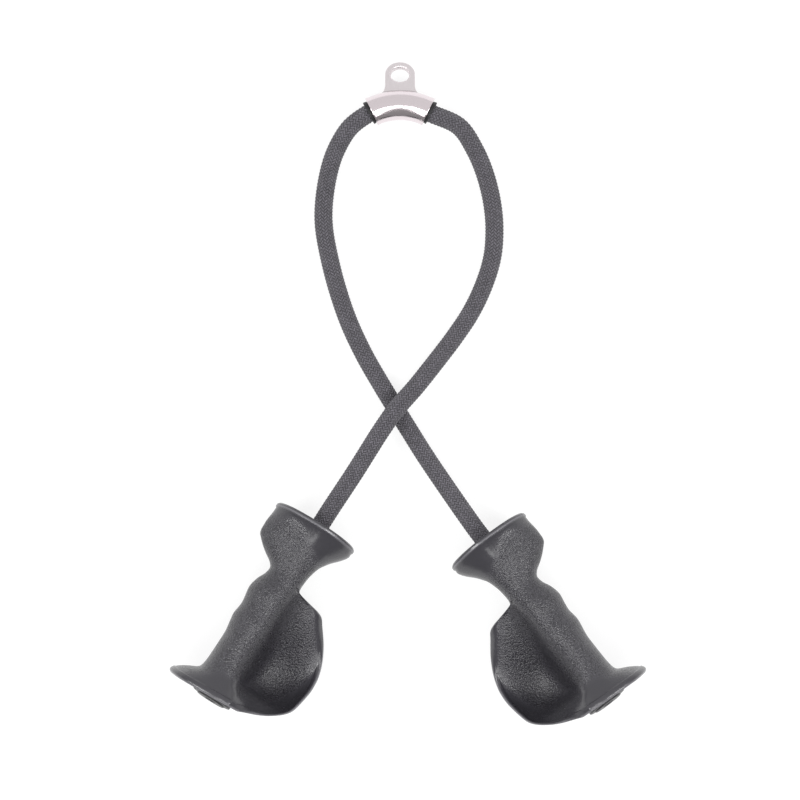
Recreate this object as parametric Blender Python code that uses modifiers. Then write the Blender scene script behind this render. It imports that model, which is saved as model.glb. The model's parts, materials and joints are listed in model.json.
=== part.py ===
"""Triceps rope attachment, lying on the ground at its real size.

One braided rope runs through a bent steel collar with a welded clip eye, and ends
inside two handed grips, each of which turns round the rope's crimped stop.
Lengths are in metres and +Z is up. The grips' local Z runs down the grip, from the
thumb flange to the bottom dish, and their local Y points to the palm's side.
"""

import math

import bmesh
import bpy
import numpy as np
from mathutils import Matrix, Vector

# Fits
GAP = 0.0003
OVERRUN = 0.004

# Rope
ROPE_DIAMETER = 0.013
ROPE_SIDES_RESOLUTION = 4
ROPE_BEND = math.radians(5.0)
LOOP_LENGTH = 0.210
CROSSING_LIFT_SHARE = 1.56

# Collar, liner and eye
ARCH_RADIUS = 0.0451
ARCH_Y = 0.1594
ARCH_HALF_ANGLE = math.radians(26.0)
ARCH_STEP = math.radians(5.2)
COLLAR_DIAMETER = 0.0204
COLLAR_WALL = 0.0021
LINER_WALL = 0.0008
LINER_LIP_DIAMETER = 0.0177
LINER_LIP_LENGTH = 0.0020
EYE_WIDTH = 0.0208
EYE_THICKNESS = 0.0042
EYE_HOLE_DIAMETER = 0.0130
EYE_REACH = 0.0256
EYE_TILT = math.radians(31.5)
EYE_FLARE = 0.0045
EYE_EDGE = 0.0005

# Grips
GRIP_LENGTH = 0.1410
FINGER_REACH = 0.0347
PALM_REACH = 0.0560
FRONT_REACH = 0.0285
BACK_REACH = 0.0478
RIM_THICKNESS = 0.0045
FLANK_REACH = 0.0125
DISH_SLANT = 0.125
DISH_LEAN = 0.050
DISH_RECESS = 0.0025
BOSS_DIAMETER = 0.0306
BOSS_HEIGHT = 0.0062
BOSS_SINK = 0.0042

# Inside each grip
SLEEVE_DIAMETER = 0.0164
SLEEVE_BORE = 0.0140
SLEEVE_HEAD_DIAMETER = 0.0250
SLEEVE_HEAD_THICKNESS = 0.0015
CHAMBER_DIAMETER = 0.0190
CHAMBER_DEPTH = 0.0340
WASHER_DIAMETER = 0.0182
WASHER_THICKNESS = 0.0025
FERRULE_DIAMETER = 0.0172
FERRULE_LENGTH = 0.0220
FERRULE_LAND = 0.0030
FERRULE_CRIMP = 0.0005
PLUG_DIAMETER = 0.0292
PLUG_THICKNESS = 0.0026
PLUG_BOSS_DIAMETER = 0.0215
PLUG_BOSS_THICKNESS = 0.0011
PLUG_SPIGOT_LENGTH = 0.0070
PLUG_SPIGOT_WALL = 0.0018
PLUG_EDGE = 0.0006

# Where the grips lie: the middle of each flange's top, and the way each grip points
LEFT_ENTRY = (-0.0563, -0.0885)
LEFT_TURN = math.radians(32.2)
RIGHT_ENTRY = (0.0590, -0.0979)
RIGHT_TURN = math.radians(37.3)
ENTRY_HEIGHT = 0.0264
GRIP_TILT = math.radians(10.2)

# The row's origin, from the point midway between the loop's two sides at the crossing
ORIGIN = (0.0055, 0.0068)

RESOLUTION_STEPS = 24
MERGE_DISTANCE = 1e-6

# The rope's free route from the collar's left end, under the crossing, to the right grip,
# as shares of the loop's length, with the height in rope diameters
UNDER_ROUTE_SHARES = (
    (-0.166, 0.901, 1.44),
    (-0.216, 0.819, 1.02),
    (-0.241, 0.736, 0.66),
    (-0.254, 0.636, 0.515),
    (-0.252, 0.568, 0.507),
    (-0.234, 0.469, 0.507),
    (-0.206, 0.362, 0.507),
    (-0.169, 0.256, 0.507),
    (-0.118, 0.148, 0.507),
    (-0.070, 0.064, 0.507),
    (-0.015, -0.027, 0.507),
    (0.032, -0.103, 0.58),
    (0.090, -0.195, 0.92),
)
# And from the left grip, over the crossing, to the collar's right end
OVER_ROUTE_SHARES = (
    (-0.150, -0.240, 1.74),
    (-0.059, -0.096, 1.62),
    (-0.010, -0.027, CROSSING_LIFT_SHARE),
    (0.050, 0.041, 1.38),
    (0.117, 0.125, 0.92),
    (0.181, 0.209, 0.60),
    (0.236, 0.292, 0.507),
    (0.280, 0.385, 0.507),
    (0.307, 0.476, 0.507),
    (0.314, 0.568, 0.507),
    (0.307, 0.651, 0.52),
    (0.285, 0.743, 0.68),
    (0.249, 0.828, 1.02),
    (0.195, 0.905, 1.42),
)

# How far the grip reaches to each side, along its length: (share of the length, share of the reach)
FINGER_SHARES = (
    (0.000, 0.93), (0.010, 0.965), (0.035, 0.965), (0.072, 0.968), (0.150, 0.965),
    (0.173, 0.945), (0.197, 0.86), (0.222, 0.75), (0.246, 0.62), (0.270, 0.47),
    (0.296, 0.40), (0.325, 0.42), (0.374, 0.51), (0.426, 0.553), (0.473, 0.525),
    (0.514, 0.505), (0.576, 0.535), (0.621, 0.510), (0.680, 0.478), (0.808, 0.485),
    (0.870, 0.505), (0.900, 0.545), (0.917, 0.64), (0.932, 0.77), (0.950, 0.90),
    (0.967, 0.98), (0.984, 1.02), (0.994, 1.005), (1.000, 0.97),
)
PALM_SHARES = (
    (0.000, 0.505), (0.010, 0.528), (0.043, 0.528), (0.064, 0.500), (0.085, 0.450),
    (0.114, 0.373), (0.142, 0.320), (0.171, 0.274), (0.199, 0.250), (0.245, 0.224),
    (0.300, 0.214), (0.323, 0.228), (0.330, 0.33), (0.336, 0.46), (0.343, 0.56),
    (0.357, 0.63), (0.384, 0.685), (0.409, 0.738), (0.462, 0.838), (0.517, 0.915),
    (0.574, 0.970), (0.631, 1.000), (0.680, 1.004), (0.722, 0.992), (0.783, 0.964),
    (0.847, 0.923), (0.883, 0.885), (0.915, 0.826), (0.945, 0.732), (0.970, 0.600),
    (0.988, 0.46), (1.000, 0.37),
)
FRONT_SHARES = (
    (0.000, 0.915), (0.010, 0.955), (0.026, 0.955), (0.036, 0.915), (0.060, 0.83),
    (0.090, 0.725), (0.125, 0.635), (0.160, 0.565), (0.200, 0.515), (0.246, 0.48),
    (0.298, 0.47), (0.350, 0.51), (0.400, 0.57), (0.440, 0.58), (0.485, 0.55),
    (0.530, 0.57), (0.580, 0.605), (0.640, 0.59), (0.700, 0.585), (0.790, 0.62),
    (0.840, 0.66), (0.875, 0.71), (0.905, 0.78), (0.930, 0.86), (0.950, 0.93),
    (0.966, 0.975), (0.980, 1.00), (0.994, 0.99), (1.000, 0.955),
)
BACK_SHARES = (
    (0.000, 0.54), (0.010, 0.567), (0.026, 0.567), (0.036, 0.545), (0.060, 0.490),
    (0.090, 0.42), (0.125, 0.365), (0.200, 0.298), (0.250, 0.280), (0.300, 0.273),
    (0.355, 0.29), (0.414, 0.32), (0.493, 0.35), (0.571, 0.39), (0.650, 0.46),
    (0.730, 0.58), (0.790, 0.70), (0.848, 0.86), (0.888, 0.955), (0.925, 0.985),
    (0.955, 0.97), (0.985, 0.88), (1.000, 0.80),
)
# Depths of the palm scoop, in shares of the back reach: its rim at the palm's end, its floor
# and its outer side. Positive is towards the palm's side of the grip.
RIM_DEPTH_SHARES = (
    (0.300, -0.08), (0.330, -0.20), (0.365, -0.30), (0.420, -0.42), (0.500, -0.50),
    (0.560, -0.50), (0.630, -0.46), (0.690, -0.39), (0.740, -0.30), (0.795, -0.17),
    (0.845, -0.03), (0.880, 0.09), (0.910, 0.20), (0.940, 0.32), (0.970, 0.43),
    (1.000, 0.49),
)
FLOOR_DEPTH_SHARES = (
    (0.300, 0.02), (0.330, -0.10), (0.360, -0.15), (0.420, -0.23), (0.497, -0.37),
    (0.568, -0.53), (0.635, -0.66), (0.690, -0.72), (0.745, -0.72), (0.795, -0.66),
    (0.835, -0.53), (0.865, -0.36), (0.893, -0.14), (0.918, 0.08), (0.943, 0.28),
    (0.968, 0.44), (1.000, 0.54),
)
OUTER_DEPTH_SHARES = (
    (0.300, -0.24), (0.330, -0.28), (0.365, -0.36), (0.420, -0.47), (0.497, -0.62),
    (0.568, -0.77), (0.635, -0.86), (0.690, -0.91), (0.745, -0.94), (0.840, -0.95),
    (0.883, -0.92), (0.925, -0.82), (0.965, -0.68), (1.000, -0.56),
)
FINGER_DEPTH_SHARES = ((0.0, 0.0), (0.300, 0.0), (0.40, -0.03), (0.86, -0.04), (0.97, -0.30), (1.0, -0.28))
BACK_OFFSET_SHARES = ((0.0, 0.0), (0.70, 0.0), (0.90, -0.22), (1.0, -0.22))
# Where the column's front ridge lies across, in shares of the finger reach, and how far its
# flank stands from the axis, in shares of the flank reach
RIDGE_SHARES = (
    (0.0, 0.0), (0.42, 0.0), (0.58, -0.02), (0.70, -0.13), (0.80, -0.05), (0.90, 0.0), (1.0, 0.03),
)
FLANK_SHARES = ((0.0, 0.84), (0.45, 0.84), (0.55, 0.91), (0.63, 1.0), (0.80, 0.98), (0.90, 1.0), (1.0, 1.0))
# Where a section changes from an oval to a column with a scoop
SCOOP_START_SHARE = 0.310
SCOOP_FULL_SHARE = 0.340

# The grip's sections, and the directions of an oval section's points, in degrees
ROW_SHARES = (
    0.000, 0.004, 0.011, 0.025, 0.036, 0.055, 0.080, 0.105, 0.130, 0.150, 0.168, 0.184,
    0.203, 0.222, 0.241, 0.262, 0.286, 0.308, 0.319, 0.325, 0.331, 0.341, 0.360, 0.388,
    0.420, 0.455, 0.495, 0.535, 0.575, 0.615, 0.660, 0.705, 0.750, 0.790, 0.822, 0.850,
    0.873, 0.892, 0.910, 0.928, 0.945, 0.960, 0.974, 0.987, 0.996, 1.000,
)
# The rings inside the dish's lip: (share of the rim's width, share of the recess's depth)
LIP_RINGS = ((0.93, 0.0), (0.885, 0.22), (0.85, 1.0))
OVAL_DIRECTIONS = (-4, 5, 13, 23, 36, 48, 60, 75, 90, 135, 180, 225, 268, 308, 333, 347)
STEPS_BETWEEN = (1, 2, 1, 2, 2, 2, 2, 2, 3, 3, 3, 3, 2, 2, 1, 1)


def clear_scene():
    for item in list(bpy.data.objects):
        bpy.data.objects.remove(item, do_unlink=True)


def collection(name, parent):
    made = bpy.data.collections.new(name)
    parent.children.link(made)
    return made


def material(name, colour, roughness, metallic=0.0):
    made = bpy.data.materials.new(name)
    made.use_nodes = True
    shader = made.node_tree.nodes["Principled BSDF"]
    shader.inputs["Base Color"].default_value = (*colour, 1.0)
    shader.inputs["Roughness"].default_value = roughness
    shader.inputs["Metallic"].default_value = metallic
    made.diffuse_color = (*colour, 1.0)
    return made


def add(name, data, where, finish=None, parent=None):
    """A new object in the collection `where`, placed by its parent."""
    made = bpy.data.objects.new(name, data)
    where.objects.link(made)
    made.parent = parent
    if finish is not None:
        data.materials.append(finish)
    return made


def make_cutter(item):
    item.hide_render = True
    item.display_type = "WIRE"
    return item


def frame(name, where, matrix):
    """An empty that holds the axis of a moving group."""
    made = bpy.data.objects.new(name, None)
    made.empty_display_size = ROPE_DIAMETER
    made.matrix_world = matrix
    where.objects.link(made)
    return made


def combine(item, other, operation):
    step = item.modifiers.new(operation.title(), "BOOLEAN")
    step.operation = operation
    step.solver = "EXACT"
    step.object = other


def smooth_shading(mesh, degrees=35.0):
    mesh.shade_smooth()
    mesh.set_sharp_from_angle(angle=math.radians(degrees))


def smooth_values(table, places):
    """A curve through the table's (place, value) pairs that never overshoots them."""
    known, value = np.array(table, float).T
    width = np.diff(known)
    slope = np.diff(value) / width
    tangent = np.empty_like(value)
    tangent[0], tangent[-1] = slope[0], slope[-1]
    same_sign = slope[1:] * slope[:-1] > 0
    total = np.where(same_sign, slope[1:] + slope[:-1], 1.0)
    tangent[1:-1] = np.where(same_sign, 2 * slope[1:] * slope[:-1] / total, 0.0)
    first = np.clip(np.searchsorted(known, places, side="right") - 1, 0, len(width) - 1)
    t = np.clip((places - known[first]) / width[first], 0.0, 1.0)
    start, end = value[first], value[first + 1]
    lean_start, lean_end = tangent[first] * width[first], tangent[first + 1] * width[first]
    return (
        start * (1 + 2 * t) * (1 - t) ** 2
        + lean_start * t * (1 - t) ** 2
        + end * t * t * (3 - 2 * t)
        + lean_end * t * t * (t - 1)
    )


def curve_tangents(before, here, after):
    """Centripetal tangent directions, per unit of parameter, and the parameter widths."""
    back, ahead = here - before, after - here
    wide_back = np.sqrt(np.linalg.norm(back, axis=-1, keepdims=True))
    wide_ahead = np.sqrt(np.linalg.norm(ahead, axis=-1, keepdims=True))
    lean = (back / wide_back * wide_ahead + ahead / wide_ahead * wide_back) / (wide_back + wide_ahead)
    return lean, wide_ahead


def curve_between(start, end, lean_start, lean_end, width, t):
    return (
        start * (1 + 2 * t) * (1 - t) ** 2
        + lean_start * width * t * (1 - t) ** 2
        + end * t * t * (3 - 2 * t)
        + lean_end * width * t * t * (t - 1)
    )


# Turned pieces: a profile of (radius, height) points carried round the local Z axis.
def turned(name, profile, where, closed, finish=None, parent=None):
    mesh = bpy.data.meshes.new(name)
    points = [(radius, 0.0, height) for radius, height in profile]
    edges = [(i, i + 1) for i in range(len(points) - 1)]
    if closed:
        edges.append((len(points) - 1, 0))
    mesh.from_pydata(points, edges, [])
    item = add(name, mesh, where, finish, parent)
    screw = item.modifiers.new("Turn", "SCREW")
    screw.angle = 2 * math.pi
    screw.steps = RESOLUTION_STEPS
    screw.render_steps = RESOLUTION_STEPS
    screw.use_merge_vertices = True
    screw.merge_threshold = MERGE_DISTANCE
    screw.use_smooth_shade = False
    return item


# Swept pieces: a round section carried along points.
def swept(name, points, diameter, resolution, where, finish=None, parent=None):
    curve = bpy.data.curves.new(name, "CURVE")
    curve.dimensions = "3D"
    curve.bevel_depth = diameter / 2
    curve.bevel_resolution = resolution
    curve.use_fill_caps = True
    spline = curve.splines.new("POLY")
    spline.points.add(len(points) - 1)
    for point, place in zip(spline.points, points):
        point.co = (*place, 1.0)
    return add(name, curve, where, finish, parent)


def as_mesh(item, where):
    """The curve object as a mesh with its caps joined to its sides."""
    bpy.context.view_layer.update()
    evaluated = item.evaluated_get(bpy.context.evaluated_depsgraph_get())
    mesh = bpy.data.meshes.new_from_object(evaluated)
    name, parent = item.name, item.parent
    local = item.matrix_local.copy()
    bpy.data.objects.remove(item, do_unlink=True)
    shape = bmesh.new()
    shape.from_mesh(mesh)
    bmesh.ops.remove_doubles(shape, verts=shape.verts, dist=MERGE_DISTANCE)
    bmesh.ops.recalc_face_normals(shape, faces=shape.faces)
    shape.to_mesh(mesh)
    shape.free()
    made = bpy.data.objects.new(name, mesh)
    where.objects.link(made)
    made.parent = parent
    made.matrix_local = local
    return made


def arch_points(half_angle, spacing):
    """Points along the collar's arch, from its left end to its right end, round the arch's middle."""
    count = max(2, round(2 * half_angle * ARCH_RADIUS / spacing))
    turns = np.linspace(-half_angle, half_angle, count + 1)
    return [(ARCH_RADIUS * math.sin(turn), ARCH_RADIUS * math.cos(turn), 0.0) for turn in turns]


def arch_tube(name, diameter, half_angle, where, parent, start=None):
    """A solid length of the arch: a round face spun about the arch's middle, with square ends.

    It runs from half_angle on one side to `start`, or to the same angle on the other side.
    """
    start = -half_angle if start is None else start
    shape = bmesh.new()
    face_place = Matrix.Rotation(-start, 4, "Z") @ Matrix.Translation((0.0, ARCH_RADIUS, 0.0))
    bmesh.ops.create_circle(
        shape,
        cap_ends=True,
        segments=RESOLUTION_STEPS,
        radius=diameter / 2,
        matrix=face_place @ Matrix.Rotation(math.pi / 2, 4, "Y"),
    )
    bmesh.ops.spin(
        shape,
        geom=[*shape.verts, *shape.edges, *shape.faces],
        cent=(0.0, 0.0, 0.0),
        axis=(0.0, 0.0, 1.0),
        angle=start - half_angle,
        steps=max(1, round((half_angle - start) / ARCH_STEP)),
    )
    bmesh.ops.recalc_face_normals(shape, faces=shape.faces)
    mesh = bpy.data.meshes.new(name)
    shape.to_mesh(mesh)
    shape.free()
    return add(name, mesh, where, None, parent)


def eye_height():
    """The arch's height, at which the eye's tip rests on the ground."""
    reach = EYE_REACH + EYE_WIDTH / 2
    return reach * math.sin(EYE_TILT) + EYE_THICKNESS / 2 * math.cos(EYE_TILT)


def make_collar(parts, cutters, steel, satin, rubber):
    place = Matrix.Translation((-ORIGIN[0], ARCH_Y - ORIGIN[1], eye_height()))
    axis = frame("collar_axis", parts, place)
    over = OVERRUN / ARCH_RADIUS
    bore_diameter = COLLAR_DIAMETER - 2 * COLLAR_WALL
    collar = arch_tube("saddle_collar", COLLAR_DIAMETER, ARCH_HALF_ANGLE, parts, axis)
    bore = arch_tube("collar_bore", bore_diameter, ARCH_HALF_ANGLE + over, cutters, axis)
    combine(collar, make_cutter(bore), "DIFFERENCE")

    # The liner fills the collar's bore, and its lips cover the collar's two ends.
    lip_start = ARCH_HALF_ANGLE + GAP / ARCH_RADIUS
    lip_end = lip_start + LINER_LIP_LENGTH / ARCH_RADIUS
    liner_diameter = bore_diameter - 2 * GAP
    liner = arch_tube("collar_liner", liner_diameter, (lip_start + lip_end) / 2, parts, axis)
    right_lip = arch_tube("right_lip", LINER_LIP_DIAMETER, lip_end, cutters, axis, lip_start)
    left_lip = arch_tube("left_lip", LINER_LIP_DIAMETER, -lip_start, cutters, axis, -lip_end)
    combine(liner, make_cutter(right_lip), "UNION")
    combine(liner, make_cutter(left_lip), "UNION")
    liner_bore = arch_tube(
        "liner_bore", liner_diameter - 2 * LINER_WALL, lip_end + over, cutters, axis
    )
    combine(liner, make_cutter(liner_bore), "DIFFERENCE")

    eye = make_eye(parts, cutters, axis)
    for item, finish in ((collar, steel), (liner, rubber), (eye, satin)):
        item.data.materials.clear()
        item.data.materials.append(finish)
        smooth_shading(item.data)
    return axis


def eye_outline():
    """The plate's edge in its own plane: round at the tip, flared where it meets the collar."""
    half = EYE_WIDTH / 2
    outer = COLLAR_DIAMETER / 2
    tip = [
        (half * math.cos(turn), EYE_REACH + half * math.sin(turn))
        for turn in np.linspace(0.0, math.pi, RESOLUTION_STEPS // 2 + 1)
    ]
    flare = [
        (half + EYE_FLARE * (1 - math.cos(turn)), outer + EYE_FLARE * (1 - math.sin(turn)))
        for turn in np.linspace(math.pi / 2, 0.0, 6)
    ]
    mirrored = [(-x, y) for x, y in reversed(flare)]
    root = outer / 2
    return [(half + EYE_FLARE, root), *flare, *tip, *mirrored, (-half - EYE_FLARE, root)]


def make_eye(parts, cutters, axis):
    """The flat plate, cut to the collar's round and leaning down to the ground."""
    curve = bpy.data.curves.new("eye_plate", "CURVE")
    curve.dimensions = "2D"
    curve.fill_mode = "BOTH"
    curve.extrude = EYE_THICKNESS / 2 - EYE_EDGE
    curve.bevel_depth = EYE_EDGE
    curve.bevel_resolution = 1
    curve.offset = -EYE_EDGE
    spline = curve.splines.new("POLY")
    outline = eye_outline()
    spline.points.add(len(outline) - 1)
    for point, (x, y) in zip(spline.points, outline):
        point.co = (x, y, 0.0, 1.0)
    spline.use_cyclic_u = True
    hole = curve.splines.new("POLY")
    hole.points.add(RESOLUTION_STEPS - 1)
    for step, point in enumerate(hole.points):
        turn = 2 * math.pi * step / RESOLUTION_STEPS
        radius = EYE_HOLE_DIAMETER / 2
        point.co = (radius * math.cos(turn), EYE_REACH + radius * math.sin(turn), 0.0, 1.0)
    hole.use_cyclic_u = True
    plate = add("eye_plate", curve, parts, None, axis)
    lean = Matrix.Rotation(-EYE_TILT, 4, "X")
    plate.matrix_local = Matrix.Translation((0.0, ARCH_RADIUS, 0.0)) @ lean
    plate = as_mesh(plate, parts)
    clearance = arch_tube("eye_seat", COLLAR_DIAMETER + 2 * GAP, 2 * ARCH_HALF_ANGLE, cutters, axis)
    combine(plate, make_cutter(clearance), "DIFFERENCE")
    return plate


def grip_sections():
    """Closed sections down the grip: an array of rows, points round, and (across, depth)."""
    rows = np.array(ROW_SHARES)
    finger = FINGER_REACH * smooth_values(FINGER_SHARES, rows)
    palm = PALM_REACH * smooth_values(PALM_SHARES, rows)
    front = FRONT_REACH * smooth_values(FRONT_SHARES, rows)
    back = BACK_REACH * smooth_values(BACK_SHARES, rows)
    rim = BACK_REACH * smooth_values(RIM_DEPTH_SHARES, rows)
    floor = BACK_REACH * smooth_values(FLOOR_DEPTH_SHARES, rows)
    outer = BACK_REACH * smooth_values(OUTER_DEPTH_SHARES, rows)
    finger_depth = BACK_REACH * smooth_values(FINGER_DEPTH_SHARES, rows)
    back_offset = FINGER_REACH * smooth_values(BACK_OFFSET_SHARES, rows)
    ridge = FINGER_REACH * smooth_values(RIDGE_SHARES, rows)
    flank = FLANK_REACH * smooth_values(FLANK_SHARES, rows)

    turn = np.radians(OVAL_DIRECTIONS)
    across = np.where(np.cos(turn) > 0, palm[:, None], finger[:, None]) * np.cos(turn)
    depth = np.where(np.sin(turn) > 0, front[:, None], back[:, None]) * np.sin(turn)
    oval = np.stack([across, depth], axis=2)

    span = palm - flank
    filled = np.clip((floor / front + 0.9) / 1.5, 0.0, 1.0)
    shoulder = ridge + 0.62 * (flank - ridge)
    scoop = np.stack(
        [
            np.stack([palm, rim - RIM_THICKNESS / 2], axis=1),
            np.stack([palm - 0.25 * RIM_THICKNESS, rim], axis=1),
            np.stack([palm - 0.15 * span, floor + 0.52 * (rim - floor)], axis=1),
            np.stack([palm - 0.34 * span, floor + 0.14 * (rim - floor)], axis=1),
            np.stack([flank + 0.34 * span, floor], axis=1),
            np.stack([flank + 0.08 * span, floor + (0.13 + 0.55 * filled) * (front - floor)], axis=1),
            np.stack([flank, floor + (0.54 + 0.34 * filled) * (front - floor)], axis=1),
            np.stack([shoulder, (0.84 + 0.13 * filled) * front], axis=1),
            np.stack([ridge, front], axis=1),
            np.stack([-0.72 * finger, 0.66 * front], axis=1),
            np.stack([-finger, finger_depth], axis=1),
            np.stack([-0.78 * finger, 0.4 * finger_depth - 0.62 * back], axis=1),
            np.stack([back_offset, -back], axis=1),
            np.stack([flank + 0.45 * span, outer], axis=1),
            np.stack([palm - 0.16 * span, outer + 0.36 * (rim - RIM_THICKNESS - outer)], axis=1),
            np.stack([palm - 0.3 * RIM_THICKNESS, rim - RIM_THICKNESS], axis=1),
        ],
        axis=1,
    )
    blend = np.clip((rows - SCOOP_START_SHARE) / (SCOOP_FULL_SHARE - SCOOP_START_SHARE), 0.0, 1.0)
    blend = (blend * blend * (3 - 2 * blend))[:, None, None]
    guides = oval * (1 - blend) + scoop * blend

    lean, width = curve_tangents(np.roll(guides, 1, axis=1), guides, np.roll(guides, -1, axis=1))
    loops = []
    for index, steps in enumerate(STEPS_BETWEEN):
        after = (index + 1) % len(STEPS_BETWEEN)
        for step in range(steps):
            loops.append(
                curve_between(
                    guides[:, index],
                    guides[:, after],
                    lean[:, index],
                    lean[:, after],
                    width[:, index],
                    step / steps,
                )
            )
    return np.stack(loops, axis=1)


def slant(across, depth, row_share):
    """How far the dish's rim leans back up the grip, on its far side and at the palm's end."""
    ramp = min(max((row_share - 0.80) / 0.15, 0.0), 1.0)
    ramp = ramp * ramp * (3 - 2 * ramp)
    return ramp * (DISH_SLANT * (FRONT_REACH - depth) + DISH_LEAN * across)


def grip_rings(side):
    """Rings of points down the grip's outside, then in over the dish's lip to its recess."""
    sections = grip_sections()
    rings = []
    for share, section in zip(ROW_SHARES, sections):
        rings.append([(side * x, y, GRIP_LENGTH * share - slant(x, y, share)) for x, y in section])
    for width, depth in LIP_RINGS:
        height = GRIP_LENGTH - DISH_RECESS * depth
        inner = [(x * width, y * width) for x, y in sections[-1]]
        rings.append([(side * x, y, height - slant(x, y, 1.0)) for x, y in inner])
    return rings


def grip_mesh(name, side):
    """The grip as one loft through its rings. side is 1 for the left grip, -1 for its mirror image."""
    shape = bmesh.new()
    rings = [[shape.verts.new(place) for place in ring] for ring in grip_rings(side)]
    around = len(rings[0])
    for upper, lower in zip(rings, rings[1:]):
        for index in range(around):
            after = (index + 1) % around
            shape.faces.new((upper[index], upper[after], lower[after], lower[index]))
    shape.faces.new(rings[0])
    shape.faces.new(list(reversed(rings[-1])))
    bmesh.ops.recalc_face_normals(shape, faces=shape.faces)
    mesh = bpy.data.meshes.new(name)
    shape.to_mesh(mesh)
    shape.free()
    return mesh


def plug_seat():
    """Where the round boss inside the dish ends, and the end plug lies against it."""
    return GRIP_LENGTH - BOSS_SINK


def sleeve_end():
    """How far down the grip the sleeve reaches: to the chamber's shoulder."""
    return plug_seat() - CHAMBER_DEPTH


def ferrule_start():
    return sleeve_end() + GAP + WASHER_THICKNESS + GAP


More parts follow.
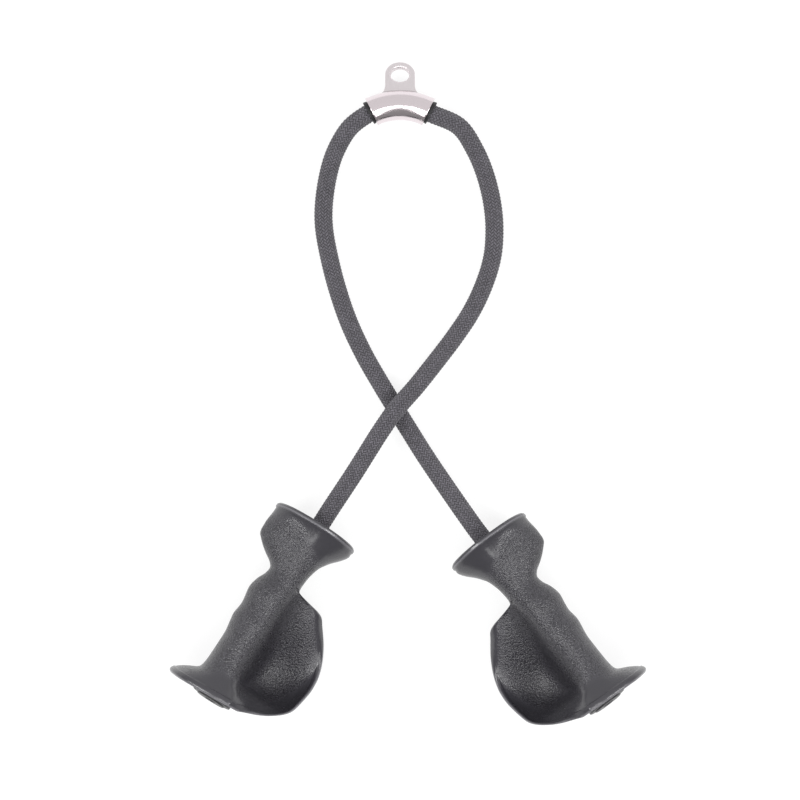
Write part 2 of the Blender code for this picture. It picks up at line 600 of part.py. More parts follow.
def make_grip(side_name, side, entry, turn, parts, cutters, finishes):
    """One grip with what it holds, in a frame whose Z is the rope's axis."""
    urethane, steel, alloy, plastic = finishes
    down = Vector(
        (
            -side * math.sin(turn) * math.cos(GRIP_TILT),
            -math.cos(turn) * math.cos(GRIP_TILT),
            math.sin(GRIP_TILT),
        )
    )
    palm = Vector((side * math.cos(turn), -math.sin(turn), 0.0)) * side
    rise = down.cross(palm)
    place = Matrix((palm, rise, down)).transposed().to_4x4()
    place.translation = (entry[0] - ORIGIN[0], entry[1] - ORIGIN[1], ENTRY_HEIGHT)
    axis = frame(f"{side_name}_grip_axis", parts, place)

    grip = add(f"{side_name}_grip", grip_mesh(f"{side_name}_grip", side), parts, urethane, axis)
    boss = [
        (0.0, plug_seat()),
        (BOSS_DIAMETER / 2, plug_seat()),
        (BOSS_DIAMETER / 2, plug_seat() - BOSS_HEIGHT),
        (0.0, plug_seat() - BOSS_HEIGHT),
    ]
    boss_item = turned(f"{side_name}_boss", boss, cutters, False, None, axis)
    combine(grip, make_cutter(boss_item), "UNION")
    head_recess = SLEEVE_HEAD_THICKNESS + GAP
    bore = [
        (0.0, GRIP_LENGTH + OVERRUN),
        (CHAMBER_DIAMETER / 2, GRIP_LENGTH + OVERRUN),
        (CHAMBER_DIAMETER / 2, sleeve_end()),
        (SLEEVE_DIAMETER / 2 + GAP, sleeve_end()),
        (SLEEVE_DIAMETER / 2 + GAP, head_recess),
        (SLEEVE_HEAD_DIAMETER / 2 + GAP, head_recess),
        (SLEEVE_HEAD_DIAMETER / 2 + GAP, -OVERRUN),
        (0.0, -OVERRUN),
    ]
    cutter = turned(f"{side_name}_bore", bore, cutters, False, None, axis)
    combine(grip, make_cutter(cutter), "DIFFERENCE")
    smooth_shading(grip.data, 50.0)

    head = SLEEVE_HEAD_DIAMETER / 2
    sleeve = [
        (SLEEVE_DIAMETER / 2, sleeve_end()),
        (SLEEVE_DIAMETER / 2, SLEEVE_HEAD_THICKNESS),
        (head, SLEEVE_HEAD_THICKNESS),
        (head, SLEEVE_HEAD_THICKNESS / 2),
        (head - SLEEVE_HEAD_THICKNESS / 2, 0.0),
        (SLEEVE_BORE / 2 + SLEEVE_HEAD_THICKNESS, 0.0),
        (SLEEVE_BORE / 2, SLEEVE_HEAD_THICKNESS),
        (SLEEVE_BORE / 2, sleeve_end()),
    ]
    turned(f"{side_name}_core_sleeve", sleeve, parts, True, alloy, axis)

    washer_top = sleeve_end() + GAP
    washer = [
        (WASHER_DIAMETER / 2, washer_top + WASHER_THICKNESS),
        (WASHER_DIAMETER / 2, washer_top),
        (SLEEVE_BORE / 2, washer_top),
        (SLEEVE_BORE / 2, washer_top + WASHER_THICKNESS),
    ]
    turned(f"{side_name}_bearing_washer", washer, parts, True, steel, axis)

    top = ferrule_start()
    end = top + FERRULE_LENGTH
    waist = FERRULE_DIAMETER / 2 - FERRULE_CRIMP
    middle = top + FERRULE_LENGTH / 2
    hole = ROPE_DIAMETER / 2 + GAP
    ferrule = [
        (FERRULE_DIAMETER / 2, end),
        (FERRULE_DIAMETER / 2, end - FERRULE_LAND),
        (waist, end - FERRULE_LAND - FERRULE_CRIMP),
        (waist, middle + FERRULE_LAND / 2 + FERRULE_CRIMP),
        (FERRULE_DIAMETER / 2, middle + FERRULE_LAND / 2),
        (FERRULE_DIAMETER / 2, middle - FERRULE_LAND / 2),
        (waist, middle - FERRULE_LAND / 2 - FERRULE_CRIMP),
        (waist, top + FERRULE_LAND + FERRULE_CRIMP),
        (FERRULE_DIAMETER / 2, top + FERRULE_LAND),
        (FERRULE_DIAMETER / 2, top),
        (hole, top),
        (hole, end),
    ]
    turned(f"{side_name}_rope_ferrule", ferrule, parts, True, alloy, axis)

    seat = plug_seat() + GAP
    spigot = CHAMBER_DIAMETER / 2 - GAP
    plug = [
        (0.0, seat + PLUG_THICKNESS + PLUG_BOSS_THICKNESS),
        (PLUG_BOSS_DIAMETER / 2 - PLUG_EDGE, seat + PLUG_THICKNESS + PLUG_BOSS_THICKNESS),
        (PLUG_BOSS_DIAMETER / 2, seat + PLUG_THICKNESS + PLUG_BOSS_THICKNESS - PLUG_EDGE),
        (PLUG_BOSS_DIAMETER / 2, seat + PLUG_THICKNESS),
        (PLUG_DIAMETER / 2 - PLUG_EDGE, seat + PLUG_THICKNESS),
        (PLUG_DIAMETER / 2, seat + PLUG_THICKNESS - PLUG_EDGE),
        (PLUG_DIAMETER / 2, seat),
        (spigot, seat),
        (spigot, seat - PLUG_SPIGOT_LENGTH),
        (spigot - PLUG_SPIGOT_WALL, seat - PLUG_SPIGOT_LENGTH),
        (spigot - PLUG_SPIGOT_WALL, seat),
        (0.0, seat),
    ]
    turned(f"{side_name}_end_plug", plug, parts, False, plastic, axis)
    return axis


def rope_route(left_axis, right_axis, collar_axis):
    """The rope's own points, from the stop in the left grip to the stop in the right grip."""
    end = ferrule_start() + FERRULE_LENGTH
    inside = (end, end / 2, 0.0, -ROPE_DIAMETER)
    left = [left_axis.matrix_world @ Vector((0.0, 0.0, height)) for height in inside]
    right = [right_axis.matrix_world @ Vector((0.0, 0.0, height)) for height in reversed(inside)]
    beyond = ARCH_HALF_ANGLE + (LINER_LIP_LENGTH + 3 * GAP) / ARCH_RADIUS
    arch = [collar_axis.matrix_world @ Vector(point) for point in arch_points(beyond, 0.4 * ROPE_DIAMETER)]
    over = [free_point(shares) for shares in OVER_ROUTE_SHARES]
    under = [free_point(shares) for shares in UNDER_ROUTE_SHARES]
    return [*left, *over, *reversed(arch), *under, *right]


def free_point(shares):
    x, y, height = shares
    return Vector((x * LOOP_LENGTH - ORIGIN[0], y * LOOP_LENGTH - ORIGIN[1], height * ROPE_DIAMETER))


def rope_points(route):
    """A smooth curve through the route's points, with a point about every rope diameter or two."""
    known = np.array(route)
    before = np.vstack([2 * known[0] - known[1], known[:-1]])
    after = np.vstack([known[1:], 2 * known[-1] - known[-2]])
    lean, width = curve_tangents(before, known, after)
    points = []
    for index in range(len(known) - 1):
        chord = np.linalg.norm(known[index + 1] - known[index])
        turning = Vector(lean[index]).angle(Vector(lean[index + 1]))
        steps = max(1, round(max(chord / (2.5 * ROPE_DIAMETER), turning / ROPE_BEND)))
        for step in range(steps):
            points.append(
                curve_between(
                    known[index], known[index + 1], lean[index], lean[index + 1], width[index], step / steps
                )
            )
    points.append(known[-1])
    return np.array(points)


def least_gap(points, diameter):
    """The rope's least clearance to itself, between stretches that are far apart along it."""
    along = np.concatenate([[0.0], np.cumsum(np.linalg.norm(np.diff(points, axis=0), axis=1))])
    fine = np.linspace(0.0, along[-1], 1500)
    path = np.stack([np.interp(fine, along, points[:, axis]) for axis in range(3)], axis=1)
    apart = np.linalg.norm(path[:, None] - path[None], axis=2)
    apart[np.abs(fine[:, None] - fine[None]) < 4 * diameter] = np.inf
    return apart.min() - diameter


def make_rope(parts, finish, axes):
    points = rope_points(rope_route(*axes))
    rope = swept("rope", points, ROPE_DIAMETER, ROPE_SIDES_RESOLUTION, parts, finish)
    length = np.linalg.norm(np.diff(points, axis=0), axis=1).sum()
    apart = 1000 * least_gap(points, ROPE_DIAMETER)
    print(f"rope: {len(points)} points, {length:.4f} m, clear of itself by {apart:.2f} mm")
    return rope


def main():
    clear_scene()
    scene = bpy.context.scene
    scene.unit_settings.system = "METRIC"
    parts = collection("triceps_rope_attachment", scene.collection)
    cutters = collection("cutters", scene.collection)
    cutters.hide_render = True

    braid = material("braided_rope", (0.030, 0.031, 0.036), 0.85)
    urethane = material("black_urethane", (0.022, 0.022, 0.025), 0.45)
    polished = material("polished_steel", (0.72, 0.71, 0.70), 0.12, 1.0)
    satin = material("satin_steel", (0.58, 0.55, 0.55), 0.38, 1.0)
    alloy = material("grey_alloy", (0.50, 0.50, 0.52), 0.45, 1.0)
    rubber = material("black_rubber", (0.012, 0.012, 0.013), 0.6)
    plastic = material("black_nylon", (0.018, 0.018, 0.020), 0.5)

    finishes = (urethane, polished, alloy, plastic)
    left = make_grip("left", 1, LEFT_ENTRY, LEFT_TURN, parts, cutters, finishes)
    right = make_grip("right", -1, RIGHT_ENTRY, RIGHT_TURN, parts, cutters, finishes)
    collar = make_collar(parts, cutters, polished, satin, rubber)
    bpy.context.view_layer.update()
    make_rope(parts, braid, (left, right, collar))


main()
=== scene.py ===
# %% [markdown]
# # A triceps rope attachment
# This lesson dresses a measured model of a gym pulling rope. The model, called the frame here,
# already has every piece in its place and knows how the pieces move. We load it, and then build
# finer surfaces and finishes over it, one at a time.

import json
import math

import bpy
import numpy as np
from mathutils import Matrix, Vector

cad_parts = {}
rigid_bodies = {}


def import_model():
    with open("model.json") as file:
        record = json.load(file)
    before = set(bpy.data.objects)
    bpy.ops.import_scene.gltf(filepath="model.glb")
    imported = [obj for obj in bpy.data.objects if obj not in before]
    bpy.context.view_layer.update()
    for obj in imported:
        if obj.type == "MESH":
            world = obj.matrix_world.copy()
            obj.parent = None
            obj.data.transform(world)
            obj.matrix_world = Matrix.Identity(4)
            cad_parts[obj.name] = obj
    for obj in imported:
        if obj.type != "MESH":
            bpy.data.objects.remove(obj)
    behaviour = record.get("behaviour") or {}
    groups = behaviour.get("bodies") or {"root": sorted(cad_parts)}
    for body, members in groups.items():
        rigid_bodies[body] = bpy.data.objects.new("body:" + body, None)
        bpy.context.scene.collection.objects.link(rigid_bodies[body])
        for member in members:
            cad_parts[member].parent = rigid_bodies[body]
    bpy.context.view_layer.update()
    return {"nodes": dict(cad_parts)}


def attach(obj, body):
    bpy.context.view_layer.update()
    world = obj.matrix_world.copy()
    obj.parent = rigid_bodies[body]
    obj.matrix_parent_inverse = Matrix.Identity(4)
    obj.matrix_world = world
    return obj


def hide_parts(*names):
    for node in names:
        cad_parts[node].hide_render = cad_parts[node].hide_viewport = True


for leftover in list(bpy.data.objects):
    bpy.data.objects.remove(leftover, do_unlink=True)
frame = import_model()

# %% [markdown]
# ## The camera
# The picture was taken from straight above, from far enough away that the grips look hardly
# larger than the ground they lie on. A camera 2.5 m up with a long lens gives that view: the
# picture's 800 pixels then cover 560 mm of ground.


# %% Camera
def in_scene(name, data):
    """A new object of some data, linked into the scene."""
    item = bpy.data.objects.new(name, data)
    bpy.context.scene.collection.objects.link(item)
    return item


CAMERA_HEIGHT = 2.5
GROUND_WIDTH = 0.560
PICTURE_CENTRE = (-0.0055, -0.0068)

eye_data = bpy.data.cameras.new("overhead")
eye_data.sensor_width = 36.0
eye_data.lens = eye_data.sensor_width * CAMERA_HEIGHT / GROUND_WIDTH
eye_data.clip_start, eye_data.clip_end = 0.1, 50.0
eye = in_scene("overhead", eye_data)
eye.location = (*PICTURE_CENTRE, CAMERA_HEIGHT)
bpy.context.scene.camera = eye
print("lens:", round(eye_data.lens, 1), "mm")

# %% [markdown]
# ## From numbers to a mesh
# Most pieces here are closed shells: rings of points, each joined to the next. If the surface
# is written as an array of rings, numpy works out every corner of every face at once, and no
# loop ever runs over single points. The helper below makes such a mesh, turns it the right way
# out by the sign of its volume, and marks the edges that should stay crisp.


# %% Rings of points become a closed mesh
def shell(name, rings, closed_along=True, across=None, along=None, crisp=40.0):
    """A mesh from an array of rings (ring, point round, xyz). Every ring is closed. The last ring
    joins the first, or else both end rings get a flat cap. across and along are the values that
    the UV map takes round a ring (one more than its points) and from ring to ring."""
    count, around = rings.shape[:2]
    number = np.arange(count * around).reshape(count, around)
    upper = number if closed_along else number[:-1]
    lower = np.roll(number, -1, axis=0) if closed_along else number[1:]
    quads = np.stack([upper, np.roll(upper, -1, 1), np.roll(lower, -1, 1), lower], axis=-1)
    quads = quads.reshape(-1, 4)
    points = rings.reshape(-1, 3)
    a, b, c, d = (points[quads[:, k]] for k in range(4))
    volume = (a * np.cross(b, c)).sum() + (a * np.cross(c, d)).sum()
    faces = (quads if volume > 0 else quads[:, ::-1]).tolist()
    if not closed_along:
        first, last = number[0].tolist(), number[-1].tolist()
        faces += [first[::-1], last] if volume > 0 else [first, last[::-1]]
    mesh = bpy.data.meshes.new(name)
    mesh.from_pydata(points.tolist(), [], faces)
    if across is not None:
        u = np.stack([across[:-1], across[1:], across[1:], across[:-1]], axis=-1)
        v = np.stack([along[:-1], along[:-1], along[1:], along[1:]], axis=-1)
        corners = np.stack(np.broadcast_arrays(u[None], v[:, None]), axis=-1).reshape(-1, 4, 2)
        corners = corners if volume > 0 else corners[:, ::-1]
        whole = np.zeros((len(mesh.loops), 2), np.float32)
        whole[: corners.shape[0] * 4] = corners.reshape(-1, 2)
        mesh.uv_layers.new(name="UVMap").data.foreach_set("uv", whole.ravel())
    mesh.update()
    mesh.shade_smooth()
    mesh.set_sharp_from_angle(angle=math.radians(crisp))
    return in_scene(name, mesh)


def unit(vectors):
    """Each vector divided by its own length."""
    return vectors / np.linalg.norm(vectors, axis=-1, keepdims=True)


# %% [markdown]
# ## Where things are
# These are the same measures that the frame was built from, in metres. The grips' own frame has
# Z down the grip, from the thumb flange to the bottom dish, and Y to the front, where the palm
# scoop opens. A piece written in that frame goes to its place with one matrix.

# %% Measures and the two grip frames
GAP = 0.0003
ROPE_DIAMETER = 0.013
LOOP_LENGTH = 0.210
ORIGIN = np.array([0.0055, 0.0068])
ARCH_RADIUS, ARCH_Y, ARCH_HALF_ANGLE = 0.0451, 0.1594, math.radians(26.0)
COLLAR_DIAMETER, COLLAR_WALL = 0.0204, 0.0021
EYE_WIDTH, EYE_THICKNESS, EYE_HOLE_DIAMETER, EYE_REACH = 0.0208, 0.0042, 0.0130, 0.0256
EYE_TILT, EYE_FLARE, EYE_EDGE = math.radians(31.5), 0.0045, 0.0005
EYE_DROP = (EYE_REACH + EYE_WIDTH / 2) * math.sin(EYE_TILT)
EYE_HEIGHT = EYE_DROP + EYE_THICKNESS / 2 * math.cos(EYE_TILT)
ARCH_MIDDLE = np.array([-ORIGIN[0], ARCH_Y - ORIGIN[1], EYE_HEIGHT])
# The middle of each flange, and how far its grip is turned outwards in degrees.
ENTRIES = {"left": (-0.0563, -0.0885, 32.2), "right": (0.0590, -0.0979, 37.3)}
ENTRY_HEIGHT, GRIP_TILT = 0.0264, math.radians(10.2)


def grip_frame(side):
    """The middle of a grip's flange, and its three directions as the columns of a matrix: to the
    right, to the front, and down the grip. The palm's end lies to the left grip's right and to
    the right grip's left, so the sign turns one grip's numbers into the other's."""
    sign = 1 if side == "left" else -1
    x, y, degrees = ENTRIES[side]
    turn = math.radians(degrees)
    flat = math.cos(GRIP_TILT)
    down = np.array([-sign * math.sin(turn) * flat, -math.cos(turn) * flat, math.sin(GRIP_TILT)])
    palm = np.array([math.cos(turn), -sign * math.sin(turn), 0.0])
    middle = np.array([x - ORIGIN[0], y - ORIGIN[1], ENTRY_HEIGHT])
    return middle, np.stack([palm, np.cross(down, palm), down], axis=1), sign


def in_grip(side, local):
    """Points given in a grip's own frame, moved to where that grip lies."""
    middle, directions, _ = grip_frame(side)
    return local @ directions.T + middle


print("left flange:", np.round(1000 * grip_frame("left")[0], 1), "mm")

# %% [markdown]
# ## The rope's route
# The rope is one length, from the crimped stop inside the left grip, over the crossing, round
# through the collar, under the crossing and into the right grip. A few points give the route, in
# thousandths of the loop's length and, for the height, of the rope's diameter. A cubic curve runs
# through them. Its speed at each point follows the square roots of the distances on both sides,
# which keeps it from swinging out where points lie close together.

# %% Points of the route
OVER = np.array([
    (-150, -240, 1740), (-59, -96, 1620), (-10, -27, 1560), (50, 41, 1380), (117, 125, 920),
    (181, 209, 600), (236, 292, 507), (280, 385, 507), (307, 476, 507), (314, 568, 507),
    (307, 651, 520), (285, 743, 680), (249, 828, 1020), (195, 905, 1420),
]) / 1000
UNDER = np.array([
    (-166, 901, 1440), (-216, 819, 1020), (-241, 736, 660), (-254, 636, 515), (-252, 568, 507),
    (-234, 469, 507), (-206, 362, 507), (-169, 256, 507), (-118, 148, 507), (-70, 64, 507),
    (-15, -27, 507), (32, -103, 580), (90, -195, 920),
]) / 1000
ROPE_END = 0.1279
LIP_LENGTH = 0.0020
LIP_END = ARCH_HALF_ANGLE + (GAP + LIP_LENGTH) / ARCH_RADIUS


def on_ground(shares):
    """Shares of the loop's length and of the rope's diameter, as metres from the origin."""
    return np.column_stack([shares[:, :2] * LOOP_LENGTH - ORIGIN, shares[:, 2] * ROPE_DIAMETER])


def outwards(angles):
    """The directions from the middle of the collar's arch, at the given angles from its top."""
    return np.column_stack([np.sin(angles), np.cos(angles), 0 * angles])


def arch(angles):
    """Points on the collar's arch: one radius outwards from its middle."""
    return ARCH_RADIUS * outwards(angles) + ARCH_MIDDLE


depths = np.array([ROPE_END, ROPE_END / 2, 0.0, -ROPE_DIAMETER])
inside = np.column_stack([0 * depths, 0 * depths, depths])
beyond = LIP_END + 2 * GAP / ARCH_RADIUS
arch_points = 1 + round(2 * beyond * ARCH_RADIUS / (0.4 * ROPE_DIAMETER))
route = np.vstack([
    in_grip("left", inside), on_ground(OVER), arch(np.linspace(beyond, -beyond, arch_points)),
    on_ground(UNDER), in_grip("right", inside[::-1]),
])
print(len(route), "route points,", arch_points, "of them in the collar")


# %% Smooth route
def hermite(t, start, end, leave, arrive):
    """The cubic from start to end, at shares t of the way, with the given speeds at its ends."""
    rise = start * (1 + 2 * t) * (1 - t) ** 2 + leave * t * (1 - t) ** 2
    return rise + end * t * t * (3 - 2 * t) + arrive * t * t * (t - 1)


def speeds(back, ahead):
    """The curve's speed at each point, from the steps that lead to it and on from it: each step's
    direction counts by the square root of the other's length. Also the root of the step ahead."""
    wide_back = np.sqrt(np.linalg.norm(back, axis=-1, keepdims=True))
    wide = np.sqrt(np.linalg.norm(ahead, axis=-1, keepdims=True))
    return (back / wide_back * wide + ahead / wide * wide_back) / (wide_back + wide), wide


def smooth_path(known, steps):
    """Cubic pieces through the known points, with `steps` points in each piece."""
    before = np.vstack([2 * known[:1] - known[1:2], known[:-1]])
    after = np.vstack([known[1:], 2 * known[-1:] - known[-2:-1]])
    speed, wide = speeds(known - before, after - known)
    t = np.linspace(0.0, 1.0, steps, endpoint=False)[:, None]
    leave, arrive = (speed[:-1] * wide[:-1])[:, None], (speed[1:] * wide[:-1])[:, None]
    pieces = hermite(t, known[:-1, None], known[1:, None], leave, arrive)
    return np.vstack([pieces.reshape(-1, 3), known[-1:]])


fine_route = smooth_path(route, 24)
travelled = np.concatenate([[0.0], np.linalg.norm(np.diff(fine_route, axis=0), axis=1).cumsum()])
rope_length = travelled[-1]
print(round(rope_length, 4), "m of rope")

# %% [markdown]
# ## The braided cover
# The cover is woven from flat strands that wind both ways, each going over two and under two.
# The same family stays on top all along a column, and the other family in the next, so slanted
# floats meet in V shapes that run along the rope. Two numbers place a point in the weave: u
# counts columns round the rope and v counts floats along it. A strand of one family has a
# constant u + v and one of the other a constant u - v, so whole numbers in those sums pick the
# strands that cross, and their total tells which is on top.

# %% Height of the weave
WEAVE_COLUMNS = 18
WEAVE_PITCH = 0.0024
WEAVE_DEPTH = 0.0008
FLOAT_DIP = 0.55


def weave_height(u, v):
    """Height of the cover from 0, in the gaps, to 1, on a float's crown. A float is a parabola
    across itself, and it dips as a square law towards both of its ends."""
    a, b = u + v, u - v
    i, j = np.floor(a), np.floor(b)
    column = np.mod(i + j, 4)
    first = column < 2
    across = np.where(first, a - i, b - j) - 0.5
    along = np.where(first, b - j + column, a - i + column - 2) / 2 - 0.5
    return (1 - (2 * across) ** 2) * (1 - FLOAT_DIP * (2 * along) ** 2)


print("middle of a float:", round(float(weave_height(0.5, 1.0)), 2), "of the full height")


# %% Rings along the rope
def passes(point):
    """How far along the rope its centreline passes nearest to a point."""
    return travelled[np.argmin(np.linalg.norm(fine_route - point, axis=1))]


HIDDEN_STEP, SEEN_STEP, END_RINGS = 0.0030, 0.00062, 42
TUCKED = 0.003
mouth = ROPE_END - 0.004
collar_from, collar_to = (passes(point) for point in arch(np.array([LIP_END, -LIP_END])))
stations = np.unique(np.concatenate([
    np.arange(0.0, mouth, HIDDEN_STEP),
    np.arange(mouth, collar_from + TUCKED, SEEN_STEP),
    np.arange(collar_from + TUCKED, collar_to - TUCKED, HIDDEN_STEP),
    np.arange(collar_to - TUCKED, rope_length - mouth, SEEN_STEP),
    np.linspace(rope_length - mouth, rope_length, END_RINGS),
]))
print(len(stations), "rings, close together only where the rope shows")

# %% Rope tube
centres = np.column_stack([np.interp(stations, travelled, fine_route[:, k]) for k in range(3)])
forward = unit(np.gradient(centres, stations, axis=0))
sideways = unit(np.cross([0.0, 0.0, 1.0], forward))
upward = np.cross(forward, sideways)
around = 4 * WEAVE_COLUMNS
turns = np.arange(around) / around
column_place, float_place = turns * WEAVE_COLUMNS, stations / WEAVE_PITCH
relief = weave_height(column_place[None], float_place[:, None])
radius = ROPE_DIAMETER / 2 - WEAVE_DEPTH * (1 - relief)
angle = 2 * np.pi * turns
outward = sideways[:, None] * np.cos(angle)[:, None] + upward[:, None] * np.sin(angle)[:, None]
rope = shell(
    "braided_rope", centres[:, None] + outward * radius[..., None], closed_along=False,
    across=np.append(column_place, WEAVE_COLUMNS), along=float_place, crisp=180.0,
)
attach(rope, "rope_body")
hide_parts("rope")
print("rope:", len(rope.data.polygons), "faces")

# %% [markdown]
# ## The form of a grip
# A grip is moulded to a hand: a wide flange for the thumb side, a waist for the fingers, and a
# scooped wing that carries the heel of the palm and ends in a round dish. A cross-section of it
# is an oval near the flange and a column with a scoop beside it further down. Tables of pairs say
# how far the form reaches to a side at a place along its length, both in thousandths: of a named
# reach, and of the grip's length. A curve that never overshoots runs through each table. Sixteen
# guide points make a section, and rings through them make the skin.

# %% How far a grip reaches to each side
GRIP_LENGTH = 0.1410
FINGER_REACH, PALM_REACH, FRONT_REACH, BACK_REACH = 0.0347, 0.0560, 0.0285, 0.0478
RIM_THICKNESS, FLANK_REACH = 0.0045, 0.0125
DISH_SLANT, DISH_LEAN, DISH_RECESS = 0.125, 0.050, 0.0025
FINGER = (
    (0, 930), (10, 965), (35, 965), (72, 968), (150, 965), (173, 945), (197, 860), (222, 750),
    (246, 620), (270, 470), (296, 400), (325, 420), (374, 510), (426, 553), (473, 525), (514, 505),
    (576, 535), (621, 510), (680, 478), (808, 485), (870, 505), (900, 545), (917, 640), (932, 770),
    (950, 900), (967, 980), (984, 1020), (994, 1005), (1000, 970),
)
PALM = (
    (0, 505), (10, 528), (43, 528), (64, 500), (85, 450), (114, 373), (142, 320), (171, 274),
    (199, 250), (245, 224), (300, 214), (323, 228), (330, 330), (336, 460), (343, 560), (357, 630),
    (384, 685), (409, 738), (462, 838), (517, 915), (574, 970), (631, 1000), (680, 1004),
    (722, 992), (783, 964), (847, 923), (883, 885), (915, 826), (945, 732), (970, 600), (988, 460),
    (1000, 370),
)
FRONT = (
    (0, 915), (10, 955), (26, 955), (36, 915), (60, 830), (90, 725), (125, 635), (160, 565),
    (200, 515), (246, 480), (298, 470), (350, 510), (400, 570), (440, 580), (485, 550), (530, 570),
    (580, 605), (640, 590), (700, 585), (790, 620), (840, 660), (875, 710), (905, 780), (930, 860),
    (950, 930), (966, 975), (980, 1000), (994, 990), (1000, 955),
)
BACK = (
    (0, 540), (10, 567), (26, 567), (36, 545), (60, 490), (90, 420), (125, 365), (200, 298),
    (250, 280), (300, 273), (355, 290), (414, 320), (493, 350), (571, 390), (650, 460), (730, 580),
    (790, 700), (848, 860), (888, 955), (925, 985), (955, 970), (985, 880), (1000, 800),
)
print("widest:", round(1000 * (FINGER_REACH + PALM_REACH), 1), "mm, finger side and palm side")

# %% How deep its scoop lies
RIM_DEPTH = (
    (300, -80), (330, -200), (365, -300), (420, -420), (500, -500), (560, -500), (630, -460),
    (690, -390), (740, -300), (795, -170), (845, -30), (880, 90), (910, 200), (940, 320),
    (970, 430), (1000, 490),
)
FLOOR_DEPTH = (
    (300, 20), (330, -100), (360, -150), (420, -230), (497, -370), (568, -530), (635, -660),
    (690, -720), (745, -720), (795, -660), (835, -530), (865, -360), (893, -140), (918, 80),
    (943, 280), (968, 440), (1000, 540),
)
OUTER_DEPTH = (
    (300, -240), (330, -280), (365, -360), (420, -470), (497, -620), (568, -770), (635, -860),
    (690, -910), (745, -940), (840, -950), (883, -920), (925, -820), (965, -680), (1000, -560),
)
FINGER_DEPTH = ((0, 0), (300, 0), (400, -30), (860, -40), (970, -300), (1000, -280))
BACK_OFFSET = ((0, 0), (700, 0), (900, -220), (1000, -220))
RIDGE = ((0, 0), (420, 0), (580, -20), (700, -130), (800, -50), (900, 0), (1000, 30))
FLANK = ((0, 840), (450, 840), (550, 910), (630, 1000), (800, 980), (900, 1000), (1000, 1000))
SCOOP_START, SCOOP_FULL = 0.310, 0.340
ROWS = (
    0, 4, 11, 25, 36, 55, 80, 105, 130, 150, 168, 184, 203, 222, 241, 262, 286, 308, 319, 325, 331,
    341, 360, 388, 420, 455, 495, 535, 575, 615, 660, 705, 750, 790, 822, 850, 873, 892, 910, 928,
    945, 960, 974, 987, 996, 1000,
)
OVAL = np.radians((-4, 5, 13, 23, 36, 48, 60, 75, 90, 135, 180, 225, 268, 308, 333, 347))
ROWS_BETWEEN, POINTS_BETWEEN = 6, 12
print(len(ROWS), "sections of", len(OVAL), "guides")


# %% Curves through the tables
def smooth_values(table, places):
    """A cubic through the (place, value) pairs. At each pair its slope is the harmonic mean of the
    two neighbouring slopes, or zero where they differ in sign, so it never overshoots."""
    known, value = np.array(table).T / 1000
    width = np.diff(known)
    slope = np.diff(value) / width
    same = slope[1:] * slope[:-1] > 0
    total = np.where(same, slope[1:] + slope[:-1], 1)
    inner = np.where(same, 2 * slope[1:] * slope[:-1] / total, 0)
    tangent = np.concatenate([slope[:1], inner, slope[-1:]])
    first = np.clip(np.searchsorted(known, places, side="right") - 1, 0, len(width) - 1)
    t = np.clip((places - known[first]) / width[first], 0.0, 1.0)
    leave, arrive = tangent[first] * width[first], tangent[first + 1] * width[first]
    return hermite(t, value[first], value[first + 1], leave, arrive)


def ease(low, high, value):
    """0 up to low, 1 from high on, and a smooth step between them."""
    t = np.clip((value - low) / (high - low), 0.0, 1.0)
    return t * t * (3 - 2 * t)


def round_loop(guides, steps):
    """Closed cubic curves through guide points, along axis 1, with speeds like the rope's."""
    after = np.roll(guides, -1, 1)
    speed, wide = speeds(guides - np.roll(guides, 1, 1), after - guides)
    t = np.linspace(0.0, 1.0, steps, endpoint=False)[:, None]
    leave, arrive = (speed * wide)[:, :, None], (np.roll(speed, -1, 1) * wide)[:, :, None]
    loop = hermite(t, guides[:, :, None], after[:, :, None], leave, arrive)
    return loop.reshape(len(guides), -1, 2)


half_way = smooth_values(PALM, np.array([0.5]))[0]
print("palm reach half way down:", round(1000 * PALM_REACH * half_way, 1), "mm")


